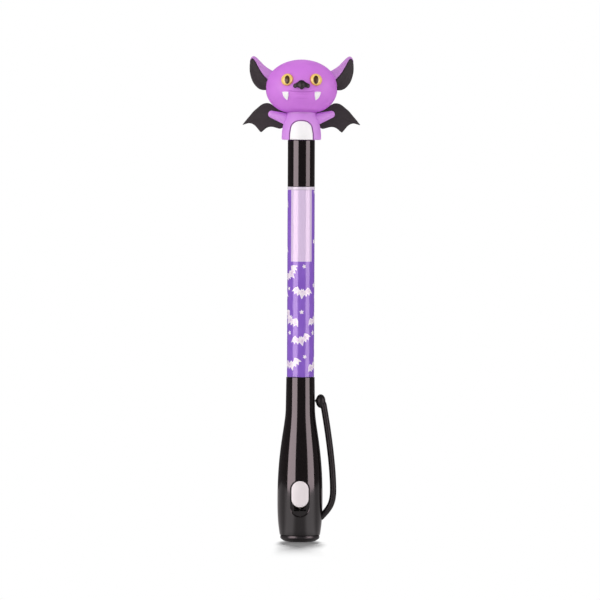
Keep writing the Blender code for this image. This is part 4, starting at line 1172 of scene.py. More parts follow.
@dataclass
class Cap:
    """The cap: a bulb with the switch's track, a neck, and the soft cup inside."""

    foot_z: float = 2.36
    mouth_z: float = 59.2
    mouth_radius: float = 5.13
    neck_radius: float = 5.3
    neck_length: float = 11.1
    bulb_radius: float = 8.15
    bulb_height: float = 14.04
    foot_radius: float = 7.25
    foot_flare: float = 0.12
    neck_ease: float = 0.2
    bulb_ease: float = 0.55
    foot_curve: float = 3.0
    bore_radius: float = 4.35
    bore_floor: float = 27.0
    cavity_radius: float = 6.3
    cavity_flat: float = 5.6
    cavity_base: float = 6.0
    cavity_top: float = 25.5
    track_width: float = 6.9
    track_length: float = 13.1
    track_z: float = 15.75
    track_floor: float = 7.25
    track_step: float = 0.07    # half width of the smooth step down to the track
    slot_half: float = 2.15
    slot_low: float = 11.25
    slot_high: float = 20.25
    side_step: float = 0.05     # spacing of the levels at which the side is worked out
    side_blur: float = 0.8
    side_reach: int = 60        # levels over which it is averaged, and which it runs past its ends
    side: Array = field(init=False)

    def __post_init__(self) -> None:
        """Work out the cap's side once.

        Formula: a straight taper along the neck, a cubic Bezier curve down the shoulder, a power
        curve below the bulb, and all of it averaged over about a millimetre.
        """
        neck_z, bulb_z = self.mouth_z - self.neck_length, self.foot_z + self.bulb_height
        rise = neck_z - bulb_z
        high, low = neck_z - self.neck_ease * rise, bulb_z + self.bulb_ease * rise
        shoulder = bezier((self.neck_radius, neck_z), (self.neck_radius, high), (self.bulb_radius, low),
                          (self.bulb_radius, bulb_z), 240)
        share = np.linspace(0, 1, 60)[1:]
        below = np.stack((self.bulb_radius - (self.bulb_radius - self.foot_radius)
                          * share ** self.foot_curve, bulb_z - share * self.bulb_height), -1)
        raw = np.concatenate((((self.mouth_radius, self.mouth_z),), shoulder, below))[::-1]
        past = self.side_reach * self.side_step
        levels = np.arange(self.foot_z - past, self.mouth_z + past, self.side_step)
        radius = np.interp(levels, raw[:, 1], raw[:, 0])
        radius += np.where(levels < self.foot_z, (levels - self.foot_z) * self.foot_flare, 0)
        offsets = np.arange(-self.side_reach, self.side_reach + 1) * self.side_step
        weights = np.exp(-0.5 * (offsets / self.side_blur) ** 2)
        padded = np.pad(radius, self.side_reach, mode="reflect", reflect_type="odd")
        self.side = np.stack((levels, np.convolve(padded, weights / weights.sum(), "valid")), -1)

    def radius(self, level: Array) -> Array:
        """Outer radius of the cap at each level."""
        return np.interp(level, self.side[:, 0], self.side[:, 1])

    def profile(self) -> tuple[Array, int]:
        """Profile of the cap from the middle of its bore's floor, over its mouth, to its cavity.

        Returns:
            Points as rows of (radius, z), and the number of the first one inside the cavity.
        """
        lip, margin = 0.5, 0.6
        above, across, below = 0.6, 0.125, 0.3
        upper, lower = self.mouth_z - lip, self.foot_z + lip
        bore = supported(rounded((
            (0, self.bore_floor), (self.bore_radius, self.bore_floor, 0.3),
            (self.bore_radius, self.mouth_z, 0.12), (self.mouth_radius, self.mouth_z, 0.15),
            (float(self.radius(upper)), upper),
        )), spacing=3.0)
        low = self.track_z - self.track_length / 2 - margin
        high = self.track_z + self.track_length / 2 + margin
        levels = np.concatenate((
            np.arange(self.mouth_z - 2 * lip, high, -above), np.arange(high, low, -across),
            np.arange(low, self.foot_z + margin, -below),
        ))
        outer = np.stack((self.radius(levels), levels), -1)
        foot = supported(rounded((
            (float(self.radius(lower)), lower), (float(self.radius(self.foot_z)), self.foot_z, 0.1),
            (self.cavity_radius, self.foot_z, 0.12), (self.cavity_radius, self.cavity_base),
            (self.cavity_radius, self.cavity_base + 0.02), (self.cavity_radius, self.cavity_top, 0.1),
            (0, self.cavity_top),
        )), spacing=3.0)
        return np.concatenate((bore, outer, foot)), len(bore) + len(outer)

    def moulding(self) -> Piece:
        """The cap's shell.

        Formula: a turned profile. Its columns lie closer at the front. Inside the track's oval
        the front is pushed back along Y to the track's floor, over a short smooth step, and in
        the cavity it is cut off at the flat that the switch slides on.

        Returns:
            The shell, with the slot cut through it.
        """
        profile, inner = self.profile()
        turn = closer_in_front(0.5, 0.0155, 100)
        x = profile[:, :1] * np.sin(turn)
        y = -profile[:, :1] * np.cos(turn)
        z = profile[:, 1:] + 0 * turn
        half = self.track_width / 2
        beyond = np.maximum(np.abs(z - self.track_z) - (self.track_length / 2 - half), 0)
        inset = half - np.hypot(x, beyond)
        sink = ramp(inset, -self.track_step, self.track_step) * np.maximum(-self.track_floor - y, 0)
        outside = (np.arange(len(profile)) < inner)[:, None]
        y = y + np.where(outside & (np.cos(turn) > 0), sink, 0)
        level = ~outside & (z > self.cavity_base + 0.01)
        y = np.where(level, np.maximum(y, -self.cavity_flat), y)
        return self.cut_slot(skin("cap_moulding", np.stack((x, y, z), axis=-1)))

    def cut_slot(self, shell: Piece) -> Piece:
        """Cut the slot for the switch's stem through the track's floor.

        Args:
            shell: The cap's shell.

        Returns:
            The same shell, cut and shaded again.
        """
        low = np.array((-self.slot_half, -self.bulb_radius, self.slot_low)) * MM
        high = np.array((self.slot_half, 1.0 - self.cavity_flat, self.slot_high)) * MM
        tool = linked("slot_tool", bpy.data.meshes.new("slot_tool"))
        with reworked(tool.data) as form:
            place = Matrix.Translation(Vector((low + high) / 2)) @ Matrix.Diagonal((*(high - low), 1))
            bmesh.ops.create_cube(form, size=1, matrix=place)
        cut = shell.modifiers.new("Slot", "BOOLEAN")
        cut.operation = "DIFFERENCE"
        cut.object = tool
        evaluated(shell)
        bpy.data.objects.remove(tool, do_unlink=True)
        return shaded(shell)

    def cup(self) -> Piece:
        """The soft cup in the bore, with a lip round the pen's nose.

        Returns:
            The piece.
        """
        corners = ((0, 28.1), (3.25, 28.1, 0.4), (3.25, 43.3, 0.15), (2.9, 43.3, 0.12), (2.9, 44.7, 0.25),
                   (4.05, 44.7, 0.25), (4.05, 27.3, 0.3), (0, 27.3))
        return lathe("nose_cup", corners, 80, spacing=4.0)

    def build(self) -> None:
        """Make and dress the cap's pieces."""
        WARDROBE.dress("cap", self.moulding(), BLACK_GLOSS, "cap_black", "cap_shell")
        WARDROBE.dress("cap", self.cup(), WHITE_BARREL, "white_plastic", "inner_cap")


@dataclass
class Switch:
    """The slide switch: an oval button, its stem, and the keeper and wiper behind the wall."""

    cap: Cap
    nodes: Nodes
    width: float = 6.15
    length: float = 9.4
    level: float = 17.4
    proud: float = 0.8
    back: float = 7.55
    stem_half: float = 1.85
    stem_length: float = 5.2
    stem_front: float = 7.65
    stem_end: float = 5.6

    def front(self, x: Array, z: Array) -> Array:
        """Y of the button's front, the bulb's own curve raised by the button's proud height."""
        return -np.sqrt((self.cap.radius(z) + self.proud) ** 2 - x ** 2)

    def button(self) -> Piece:
        """The button.

        Returns:
            The piece.
        """
        outline = oval(self.width, self.length, self.level, 200)
        return skin("switch_oval", slab(outline, (0, self.level), self.front, plane(-self.back), 0.35, 0.08,
                                        fine=8, coarse=24))

    def stem(self) -> Piece:
        """The stem through the slot, a block with eased edges.

        Returns:
            The piece.
        """
        half_x, half_z = self.stem_half, self.stem_length / 2
        points = ((half_x, half_z), (-half_x, half_z), (-half_x, -half_z), (half_x, -half_z))
        block = flowing(points, range(4), 120, 0.12) + (0, self.level)
        return skin("switch_stem", slab(block, (0, self.level), plane(-self.stem_front),
                                        plane(-self.stem_end), 0.1))

    def build(self) -> None:
        """Make and dress the switch's pieces."""
        WARDROBE.dress("switch", self.button(), WHITE_SWITCH, "switch_white", "switch_button")
        WARDROBE.dress("switch", self.stem(), WHITE_SWITCH, "switch_white")
        WARDROBE.dress_copies(
            "switch", self.nodes,
            ("switch_keeper", "switch_keeper_plate", 0.1, WHITE_SWITCH, "white_plastic"),
            ("switch_wiper", "switch_wiper_leaf", 0.08, BRASS, "brass"),
        )


@dataclass
class Clip:
    """The pocket clip: an oval arm from the bulb's side to a ball on the neck."""

    cap: Cap
    thickness: float = 2.33
    breadth: float = 3.2
    stand_off: float = 2.61
    root_height: float = 5.75
    root_round: float = 0.5
    bend_height: float = 16.0
    ball_radius: float = 1.75
    ball_half_height: float = 2.5
    ball_drop: float = 8.7
    seat_gap: float = 0.3
    nub_radius: float = 0.7
    nub_root: float = 0.9
    nub_reach: float = 0.33     # past the ball, before relaxing draws it back off the neck
    nub_rise: float = 0.1
    foot_ease: float = 0.33
    bend_ease: float = 0.5
    arm_ease: float = 0.25
    tip_ease: float = 0.33
    tip_lean: float = 0.19
    voxel: float = 0.13

    def path(self) -> Array:
        """Middle line of the arm, two Bezier curves that meet upright at the bend.

        Returns:
            Points as rows of (x, z).
        """
        cap = self.cap
        root = np.array((cap.bulb_radius - self.thickness / 2, cap.foot_z + self.root_height))
        bend = np.array((cap.bulb_radius + self.stand_off + self.thickness / 2,
                         cap.foot_z + self.bend_height))
        tip = self.ball() + (self.thickness / 3, 0)
        drop, rise = bend[1] - root[1], tip[1] - bend[1]
        foot, run = self.foot_ease * drop, self.tip_ease * rise
        lower = bezier(root, root + foot, bend - (0, self.bend_ease * drop), bend, 60)
        upper = bezier(bend, bend + (0, self.arm_ease * rise), tip + (self.tip_lean * run, -run), tip, 140)
        return np.concatenate((lower[:-1], upper))

    def ball(self) -> Array:
        """Centre of the ball as (x, z)."""
        level = self.cap.mouth_z - self.ball_drop
        return np.array((float(self.cap.radius(level)) + self.seat_gap + self.ball_radius, level))

    def moulding(self) -> Piece:
        """The clip in one piece.

        Formula: an oval carried along the arm, with round ends, fused by remeshing with an egg
        for the ball and a nub that reaches the neck, and then relaxed so that they flow together.

        Returns:
            The clip.
        """
        path, centre = self.path(), self.ball()
        run = run_along(path)
        left = (run[-1] - run) / (self.thickness / 2)
        slim = round_end(1 - np.clip(left, 0, 1)) * round_end(1 - np.clip(run / self.root_round, 0, 1))
        arm = skin("clip_moulding", swept(path, slim * self.thickness / 2, slim * self.breadth / 2, 48))
        angle = np.linspace(0, math.pi, 40)
        half = np.stack((self.ball_radius * np.sin(angle), self.ball_half_height * np.cos(angle)), -1)
        egg = turned(half, 48) + np.array((centre[0], 0, centre[1]))
        nub_x = np.linspace(centre[0] - self.nub_root, centre[0] - self.ball_radius - self.nub_reach, 16)
        width = self.nub_radius * round_end(np.linspace(0, 1, 16), 4)
        width[0] = 0
        nub = swept(np.stack((nub_x, np.full(16, centre[1] + self.nub_rise)), -1), width, width, 24)
        parts = (skin("clip_egg", egg), skin("clip_nub", nub))
        with reworked(arm.data) as form:
            for part in parts:
                form.from_mesh(part.data)
        for part in parts:
            bpy.data.objects.remove(part, do_unlink=True)
        fuse = arm.modifiers.new("Fused", "REMESH")
        fuse.mode = "VOXEL"
        fuse.voxel_size = self.voxel * MM
        relax = arm.modifiers.new("Relaxed", "SMOOTH")
        relax.factor = 0.5
        relax.iterations = 10
        evaluated(arm)
        arm.data.shade_smooth()
        return arm

    def build(self) -> None:
        """Make and dress the clip."""
        WARDROBE.dress("clip", self.moulding(), BLACK_SATIN, "cap_black", "pocket_clip")


# Pen

@dataclass(frozen=True)
class Motif:
    """One printed figure on the label: where it is, how large, how far it leans, and its outline."""

    around: float
    level: float
    size: float
    lean: float
    outline: Array


@dataclass
class Label:
    """The printed film sleeve: bats and stars scattered on purple, and a bare panel in front."""

    bottom: float = 59.27
    top: float = 126.55
    radius: float = 4.9
    inner_radius: float = 4.6
    edge: float = 0.04
    panel_low: float = 100.8
    panel_around: float = 0.2
    panel_half: float = 4.2
    rows: int = 8
    columns: int = 3
    offset: float = 0.9         # of the first column, from the back
    jitter: float = 0.8
    bat_lean: float = 0.75
    bat_sizes: Pair = (8.0, 9.4)
    star_sizes: Pair = (1.8, 2.3)
    seed: int = 11

    @property
    def girth(self) -> float:
        """Length round the sleeve."""
        return math.tau * self.radius

    def bat(self) -> Array:
        """Outline of the printed bat, one unit wide, drawn on one half and mirrored.

        Returns:
            Points as rows of (x, z).
        """
        return mirrored((
            (0.0, 0.12), (0.04, 0.21), (0.07, 0.11), (0.13, 0.13), (0.22, 0.27), (0.35, 0.2),
            (0.5, 0.02), (0.37, 0.05), (0.33, -0.1), (0.25, 0.01), (0.19, -0.15), (0.12, -0.05),
            (0.07, -0.12), (0.0, -0.27),
        ))

    def star(self) -> Array:
        """Outline of a five-pointed star, one unit across.

        Returns:
            Points as rows of (x, z).
        """
        turn = math.pi / 2 + np.arange(10) * math.pi / 5
        reach = np.where(np.arange(10) % 2 == 0, 0.5, 0.22)
        return np.stack((reach * np.cos(turn), reach * np.sin(turn)), -1)

    def motifs(self) -> list[Motif]:
        """The label's own scatter: staggered rows of bats with a star between each two.

        Returns:
            The motifs that lie clear of the panel.
        """
        chance = np.random.default_rng(self.seed)
        pitch = self.girth / self.columns
        rise = (self.top - self.bottom) / self.rows
        found = []
        for row in range(self.rows):
            for column in range(self.columns):
                shift = chance.uniform(-self.jitter, self.jitter, 4)
                lean, size = chance.uniform(-self.bat_lean, self.bat_lean), chance.uniform(*self.bat_sizes)
                around = (column + 0.5 * (row % 2)) * pitch + shift[0] - self.girth / 2 + self.offset
                level = self.bottom + (row + 0.5) * rise + shift[1]
                found.append(Motif(around, level, size, lean, self.bat()))
                beside, above = around + pitch / 2 + 0.4 * shift[2], level + 0.35 * rise + 0.5 * shift[3]
                size, lean = chance.uniform(*self.star_sizes), chance.uniform(0, 1)
                found.append(Motif(beside, above, size, lean, self.star()))
        return [motif for motif in found if not self.over_panel(motif)]

    def over_panel(self, motif: Motif) -> bool:
        """Whether a motif would reach the panel."""
        near = abs(motif.around - self.panel_around) < self.panel_half + 0.55 * motif.size
        return near and motif.level + 0.5 * motif.size > self.panel_low

    def print_distance(self, around: Array, level: Array) -> Array:
        """Distance into the nearest motif, in millimetres, above 0 inside.

        Formula: each motif's distance is measured in its own turned and scaled frame, on the
        unrolled sleeve, and the largest one counts.

        Args:
            around: Distance round the sleeve from its front.
            level: Height.

        Returns:
            One distance for each point.
        """
        best = np.full(around.shape, -2.0)
        for motif in self.motifs():
            beside = (around - motif.around + self.girth / 2) % self.girth - self.girth / 2
            above = level - motif.level
            close = np.hypot(beside, above) < 0.62 * motif.size
            cosine, sine = math.cos(motif.lean), math.sin(motif.lean)
            local = np.stack((beside * cosine + above * sine, above * cosine - beside * sine), -1)
            deep = inside_distance(local[close] / motif.size, motif.outline) * motif.size
            best[close] = np.maximum(best[close], deep)
        return best

    def film(self) -> Piece:
        """The sleeve: a turned ring, with the print's distances marked on its points.

        Returns:
            The piece.
        """
        levels = np.linspace(self.top - self.edge, self.bottom + self.edge, 330)
        outer = np.stack((np.full(levels.shape, self.radius), levels), -1)
        lip = self.radius - self.edge
        inner = ((lip, self.bottom), (self.inner_radius, self.bottom), (self.inner_radius, self.top))
        rings = turned(np.concatenate((((lip, self.top),), outer, inner)), 168)
        around = np.arctan2(rings[..., 0], -rings[..., 1]) * self.radius
        level = rings[..., 2]
        motif = self.print_distance(around.ravel(), level.ravel())
        panel = np.minimum(self.panel_half - np.abs(around - self.panel_around), level - self.panel_low)
        return skin("label_film", rings, Ends.LOOP, {"motif": motif, "panel": panel})


@dataclass
class Pen:
    """The pen without its bat: barrel, label, nose, nib, reservoir and black tail."""

    label: Label = field(default_factory=Label)
    plug_top: float = 51.4
    nib_radius: float = 0.75
    nib_tip: float = 29.7
    nib_round: float = 0.9
    nib_shoulder: float = 30.6

    def barrel(self) -> Piece:
        """The barrel: a turned tube with a thin front and a collar.

        Returns:
            The piece.
        """
        corners = ((3.3, 127.6, 0.1), (4.95, 127.6, 0.1), (4.95, 126.6, 0.1), (4.3, 126.6, 0.04),
                   (4.3, 59.5, 0.04), (4.05, 59.5, 0.04), (4.05, 45.7, 0.2), (3.3, 45.7, 0.1))
        return lathe("barrel_tube", corners, 120, Ends.LOOP, 6.0)

    def nose(self) -> Piece:
        """The nose: a turned plug, flange and cone round the nib.

        Returns:
            The piece.
        """
        corners = ((1.05, self.plug_top, 0.1), (3.0, self.plug_top, 0.2), (3.0, 45.4, 0.04),
                   (4.05, 45.4, 0.1), (4.05, 45.0, 0.15), (2.6, 45.0, 0.1), (2.3, 42.2, 0.6),
                   (1.5, 34.2, 0.3), (1.05, 34.2, 0.12))
        return lathe("nose_moulding", corners, 96, Ends.LOOP)

    def nib(self) -> Piece:
        """The bullet nib: a rod with a round tip.

        Returns:
            The piece.
        """
        tip = round_tip(self.nib_radius, self.nib_tip, self.nib_round, 12)[1:]
        rod = rounded(((0, self.plug_top), (self.nib_radius, self.plug_top, 0.08),
                       (self.nib_radius, self.nib_shoulder)))
        return skin("nib_rod", turned(np.concatenate((supported(rod), tip)), 40))

    def reservoir(self) -> Piece:
        """The reservoir: a rod of fibre."""
        corners = ((0, 119.7), (3.0, 119.7, 0.3), (3.0, 51.7, 0.3), (0, 51.7))
        return lathe("reservoir_rod", corners, 56, spacing=8.0)

    def tail(self) -> Piece:
        """The black tail: a turned plug, sleeve and peg, hollow from below.

        Returns:
            The piece.
        """
        corners = ((0, 152.0), (3.0, 152.0, 0.3), (3.0, 144.5, 0.05), (4.9, 144.5, 0.25),
                   (4.9, 127.65, 0.12), (3.0, 127.65, 0.05), (3.0, 120.0, 0.25), (2.1, 120.0, 0.1),
                   (2.1, 150.0, 0.2), (0, 150.0))
        return lathe("tail_moulding", corners, 128, spacing=3.0)

    def build(self) -> None:
        """Make and dress the pen's pieces."""
        WARDROBE.dress("pen", self.barrel(), WHITE_BARREL, "white_plastic", "barrel")
        WARDROBE.dress("pen", self.label.film(), LABEL_FILM, "label_film", "label_sleeve")
        WARDROBE.dress("pen", self.nose(), WHITE_BARREL, "white_plastic", "nose_cone")
        WARDROBE.dress("pen", self.nib(), FIBRE, "fibre", "nib")
        WARDROBE.dress("pen", self.reservoir(), FIBRE, "fibre", "ink_reservoir")
        WARDROBE.dress("pen", self.tail(), BLACK_GLOSS, "cap_black", "tail_plug")


# Bat

@dataclass
class BatBody:
    """The bat's body with its belly patch, arms and wings."""

    base: float = 144.52
    top: float = 153.8
    waist: float = 7.1
    shoulder: float = 5.2
    rounding: float = 0.5
    depth: float = 0.86
    reach: float = 1.3          # how far the body runs up into the head's underside
    socket_radius: float = 3.3
    socket_height: float = 3.0
    belly_sunk: float = 0.5
    belly_middle: float = 2.5
    groove: float = 0.38        # gap between the belly's patch and the body
    arm_root: Pair = (4.7, 151.8)
    arm_hand: Pair = (10.7, 153.7)
    arm_radii: tuple[float, float, float] = (2.05, 2.1, 1.3)
    arm_swell: float = 1.2      # how far along the arm is thickest
    wing_front: float = 2.12
    wing_back: float = 3.7
    wing_crown: float = 0.22
    wing_sweep: float = 10.0

    def flank(self) -> Array:
        """Side of the body from its top down, a Bezier curve, as rows of (radius, z).

        Returns:
            Its points.
        """
        height = self.top - self.base
        middle = self.shoulder + (self.waist - self.shoulder) / 2
        curve = bezier((self.shoulder, self.top), (middle, self.top - height / 4),
                       (self.waist, self.base + height / 2), (self.waist, self.base + self.rounding), 70)
        return np.concatenate((((self.shoulder - 0.12, self.top + self.reach),), curve))

    def radius(self, level: Array) -> Array:
        """Half the body's width at each level."""
        side = self.flank()[::-1]
        return np.interp(level, side[:, 1], side[:, 0])

    def front(self, x: Array, z: Array) -> Array:
        """Y of the body's front at (x, z)."""
        return -self.depth * np.sqrt(np.maximum(self.radius(z) ** 2 - x ** 2, 0))

    def belly_outline(self, grow: float = 0.0) -> Array:
        """Arch of the belly's patch, grown outwards, with its feet below the body's base.

        Args:
            grow: How far it is grown.

        Returns:
            Points as rows of (x, z).
        """
        corner = grow * 0.7
        right = np.array(((4.1 + grow, -0.6), (3.85 + grow, 3.2), (3.0 + corner, 5.6 + corner),
                          (0, 6.7 + grow)))
        arch = np.concatenate(((right * (-1, 1))[:-1], right[::-1]))
        return flowing(arch + (0, self.base), (0, len(arch) - 1), 200, 0.05)

    def torso(self) -> Piece:
        """The body.

        Formula: a turned Bezier side, flattened along Y, with its front pushed back inside the
        belly's arch, grown by the groove, over a short smooth step.

        Returns:
            The body, with painted shade marked where the patch's recess lies and under the head.
        """
        rim = round_tip(self.rounding, self.base, self.rounding, 7, self.waist - self.rounding)[1:]
        neck_z, socket_z = self.top + self.reach, self.base + self.socket_height
        neck = ((0.0, neck_z), (self.shoulder - 0.3, neck_z))
        socket = ((self.socket_radius, self.base), (self.socket_radius, socket_z), (0.0, socket_z))
        profile = supported(np.concatenate((neck, self.flank(), rim, socket)), spacing=0.14, gap=0.06)
        turn = closer_in_front(0.85, 0.017, 90)
        x = profile[:, :1] * np.sin(turn)
        y = -self.depth * profile[:, :1] * np.cos(turn)
        z = profile[:, 1:] + 0 * turn
        outer = (profile[:, :1] > self.socket_radius + 0.1) & (np.cos(turn) > 0)
        sunk = np.where(outer, ramp(depth_inside(x, z, self.belly_outline(self.groove)), -0.1, 0.12), 0)
        # painted shade: the patch's recess, and a fainter band where the body runs up under the head
        shaded_crease = np.maximum(sunk, 0.3 * ramp(z, self.top - 0.2, self.top + 0.7))
        return skin("bat_torso", np.stack((x, y + sunk * self.belly_sunk, z), -1), marks={"shaded_crease": shaded_crease})

    def belly(self) -> Piece:
        """The white patch, a slab that follows the body's front.

        Returns:
            The piece.
        """
        outline = self.belly_outline()
        outline = outline[outline[:, 1] >= self.base + 0.02]
        middle = (0, self.base + self.belly_middle)
        away = outline - middle
        outline = even(outline[np.argsort(np.arctan2(away[:, 0], -away[:, 1]))], 200)
        rings = slab(outline, middle, lambda x, z: self.front(x, z) - 0.03,
                     lambda x, z: self.front(x, z) + 0.75, 0.22, 0.05, coarse=22)
        return skin("bat_belly", rings)

    def arm(self, side: Side) -> Piece:
        """An arm: a round section carried out from the shoulder, tapering to a round hand.

        Args:
            side: Which of the two it is.

        Returns:
            The piece.
        """
        shoulder, hand = (np.array((side.value * x, z)) for x, z in (self.arm_root, self.arm_hand))
        length = float(np.linalg.norm(hand - shoulder))
        reach = self.arm_radii[-1]
        run = (length + reach) * np.sin(np.linspace(0, math.pi / 2, 60))
        radius = np.interp(run, (0, self.arm_swell, length), self.arm_radii)
        radius *= round_end(np.clip((run - length) / reach, 0, 1))
        radius[0] = 0
        path = shoulder + run[:, None] * ((hand - shoulder) / length)
        return skin(f"bat_arm_{side.label}_vinyl", swept(path, radius, radius, 56))

    def wing(self, side: Side) -> Piece:
        """A wing: a scalloped slab with a low crown, swept back.

        Args:
            side: Which of the two it is.

        Returns:
            The piece.
        """
        points = ((4.0, 1.6), (9.4, 2.3), (13.2, 4.0), (16.9, 2.0), (19.9, -1.2), (22.1, -3.9),
                  (18.9, -3.4), (15.3, -6.6), (12.5, -4.7), (8.3, -5.3), (4.0, -3.6))
        outline = flowing(points, (0, 5, 7, 9, 10), 260, 0.16) * (side.value, 1) + (0, self.top)
        centre = (side.value * 12.5, self.top - 0.5)

        def crown(x: Array, z: Array) -> Array:
            """How far the membrane is drawn in between its rim and its middle."""
            span = np.hypot((x - centre[0]) / 9.0, (z - centre[1]) / 5.0)
            return self.wing_crown * np.sin(math.pi * np.clip(span, 0, 1)) ** 2

        rings = slab(outline, centre, lambda x, z: self.wing_front + crown(x, z),
                     lambda x, z: self.wing_back - crown(x, z), 0.42, coarse=26)
        sweep = side.value * math.radians(self.wing_sweep)
        cosine, sine = math.cos(sweep), math.sin(sweep)
        x, y, z = np.moveaxis(rings, -1, 0)
        return skin(f"bat_wing_{side.label}_vinyl",
                    np.stack((x * cosine - y * sine, x * sine + y * cosine, z), -1))

    def build(self) -> None:
        """Make and dress the body, the patch, both arms and both wings."""
        WARDROBE.dress("pen", self.torso(), PURPLE_TORSO, "bat_purple", "bat_body")
        WARDROBE.dress("pen", self.belly(), WHITE_VINYL, "bat_white", "belly_patch")
        for side in Side:
            WARDROBE.dress("pen", self.arm(side), PURPLE_BODY, "bat_purple", f"bat_arm_{side.label}")
            WARDROBE.dress("pen", self.wing(side), BLACK_VINYL, "bat_black", f"bat_wing_{side.label}")


@dataclass
class BatHead:
    """The bat's head with its ears, eyes, nose and fangs."""

    half_width: float = 12.9
    depth: float = 0.775
    level: float = 163.4
    upper: float = 10.0
    lower: float = 9.9
    upper_power: float = 2.0
    lower_power: float = 2.2
    set_back: float = 0.62
    mouth_drop: float = 1.75
    lip_height: float = 0.16
    fold_depth: float = 0.05
    neck_shade: Pair = (5.4, 8.0)
    eye_radius: float = 2.25
    eye_height: float = 1.4
    eye_sunk: float = 0.4
    eye_out: float = 5.15
    eye_up: float = 2.6
    pupil_half: Pair = (0.92, 1.52)
    pupil_proud: float = 0.16
    pupil_sunk: float = 0.12
    ear_depth: float = 3.8
    inner_ear_sunk: float = 0.2
    inner_ear_depth: float = 0.9

    def radius(self, level: Array) -> Array:
        """Half the head's width at each level, on its upper or lower superellipse.

        Args:
            level: Height.

        Returns:
            One half width for each level.
        """
        upper = level > self.level
        reach = np.where(upper, self.upper, self.lower)
        power = np.where(upper, self.upper_power, self.lower_power)
        share = np.clip(np.abs(level - self.level) / reach, 0, 1)
        return self.half_width * (1 - share ** power) ** (1 / power)

    def front(self, x: Array, z: Array) -> Array:
        """Y of the face at (x, z)."""
        return self.set_back - self.depth * np.sqrt(np.maximum(self.radius(z) ** 2 - x ** 2, 0))

    def mouth(self, x: Array, z: Array) -> tuple[Array, Array]:
        """How far the mouth's crease sinks and the lower lip rises, and how deep the shade painted there
        is.

        Formula: a bell curve across a line that sags a little between the fangs, and a flat-topped
        bump below it between two faint folds, all fading out to the sides.

        Args:
            x: Distance from the middle.
            z: Height.

        Returns:
            The painted shade of the crease and the folds, from 0 to 1, and the height in millimetres.
        """
        up = z - self.level
        span = ramp(-np.abs(x - 0.1), -4.9, -4.1)
        shaded_crease = np.exp(-((up + self.mouth_drop - 0.35 * (x / 4.6) ** 2) / 0.2) ** 2) * span
        lip = np.exp(-((x - 0.2) / 2.1) ** 4 - ((up + 3.35) / 0.6) ** 4)
        under = np.exp(-((x - 0.2) / 1.8) ** 4 - ((up + 4.15) / 0.16) ** 2)
        over = np.exp(-((x - 0.2) / 2.2) ** 4 - ((up + 2.6) / 0.16) ** 2)
        height = self.lip_height * (lip - shaded_crease) - self.fold_depth * (under + over)
        # painted shade in the crease and, fainter, in the two folds
        return np.clip(shaded_crease + 0.35 * (under + over), 0, 1), height

    def head(self) -> Piece:
        """The head.

        Formula: an upper and a lower superellipse, each turned and flattened along Y, with the
        mouth's crease and lip moved along Y on the face.

        Returns:
            The head, with painted shade marked at the mouth and round the neck.
        """
        turn = np.linspace(0, math.pi / 2, 110)[:, None]
        halves = []
        for reach, power in ((self.upper, self.upper_power), (-self.lower, self.lower_power)):
            halves.append(np.concatenate((self.half_width * np.cos(turn) ** (2 / power),
                                          self.level + reach * np.sin(turn) ** (2 / power)), 1))
        profile = np.concatenate((halves[0][::-1], halves[1][1:]))
        profile[0, 0] = profile[-1, 0] = 0
        rings = turned(profile, 300, self.depth)
        rings[..., 1] += self.set_back
        x, y, z = np.moveaxis(rings, -1, 0)
        shaded_crease, height = self.mouth(x, z)
        face = y < self.set_back
        rings[..., 1] -= np.where(face, height, 0)
        # painted shade round the neck, under the head where it meets the body
        neck = (z < self.level - 5) * (1 - ramp(np.hypot(x, y / 0.86), *self.neck_shade))
        marks = {"shaded_crease": np.maximum(np.where(face, shaded_crease, 0), neck * 0.9)}
        return skin("bat_head_vinyl", rings, marks=marks)

    def on_face(self, name: str, outline: Array, centre: Sequence[float], proud: Surface,
                edge: float) -> Piece:
        """A piece that lies on the face.

        Args:
            name: The piece's name.
            outline: Its outline, as rows of (x, z).
            centre: (x, z) that its rings shrink to.
            proud: Its height above the face at (x, z).
            edge: Rounding of its edge.

        Returns:
            The piece.
        """
        rings = slab(outline, centre, lambda x, z: self.front(x, z) - proud(x, z),
                     lambda x, z: self.front(x, z) + 0.25, edge, 0.02)
        return skin(name, rings)

    def nose(self) -> Piece:
        """The nose: a raised middle between two drooping lobes.

        Returns:
            The piece.
        """
        half = ((0.0, 2.45), (0.65, 2.35), (1.3, 1.8), (2.1, 1.35), (2.85, 0.95), (2.9, -0.05),
                (2.3, -0.4), (1.5, -0.1), (0.9, -0.35), (0.0, -0.95))

        def proud(x: Array, z: Array) -> Array:
            """Height: a bulb in the middle, a valley on each side and two lower lobes.

            Args:
                x: Distance from the middle.
                z: Height.

            Returns:
                One height for each place.
            """
            middle = np.exp(-(x / 1.05) ** 2 - ((z - self.level - 0.75) / 1.5) ** 2)
            lobes = np.exp(-((np.abs(x) - 2.0) / 0.75) ** 2)
            return 0.75 + 0.5 * middle + 0.2 * lobes

        outline = flowing(mirrored(half), (), 220, 0.1) + (0, self.level)
        return self.on_face("bat_nose_vinyl", outline, (0, self.level + 0.7), proud, 0.55)

    def fang(self, side: Side) -> Piece:
        """A fang: a small slab with its point down and a little inwards.

        Args:
            side: Which of the two it is.

        Returns:
            The piece.
        """
        points = ((4.7, -1.75), (5.85, -1.65), (7.0, -1.75), (6.3, -3.65), (5.05, -4.8), (4.72, -3.3))
        outline = flowing(points, (0, 2, 4), 160, 0.08) * (side.value, 1) + (0, self.level)
        centre = (side.value * 5.6, self.level - 2.65)
        return self.on_face(f"bat_fang_{side.label}_vinyl", outline, centre, plane(0.62), 0.32)

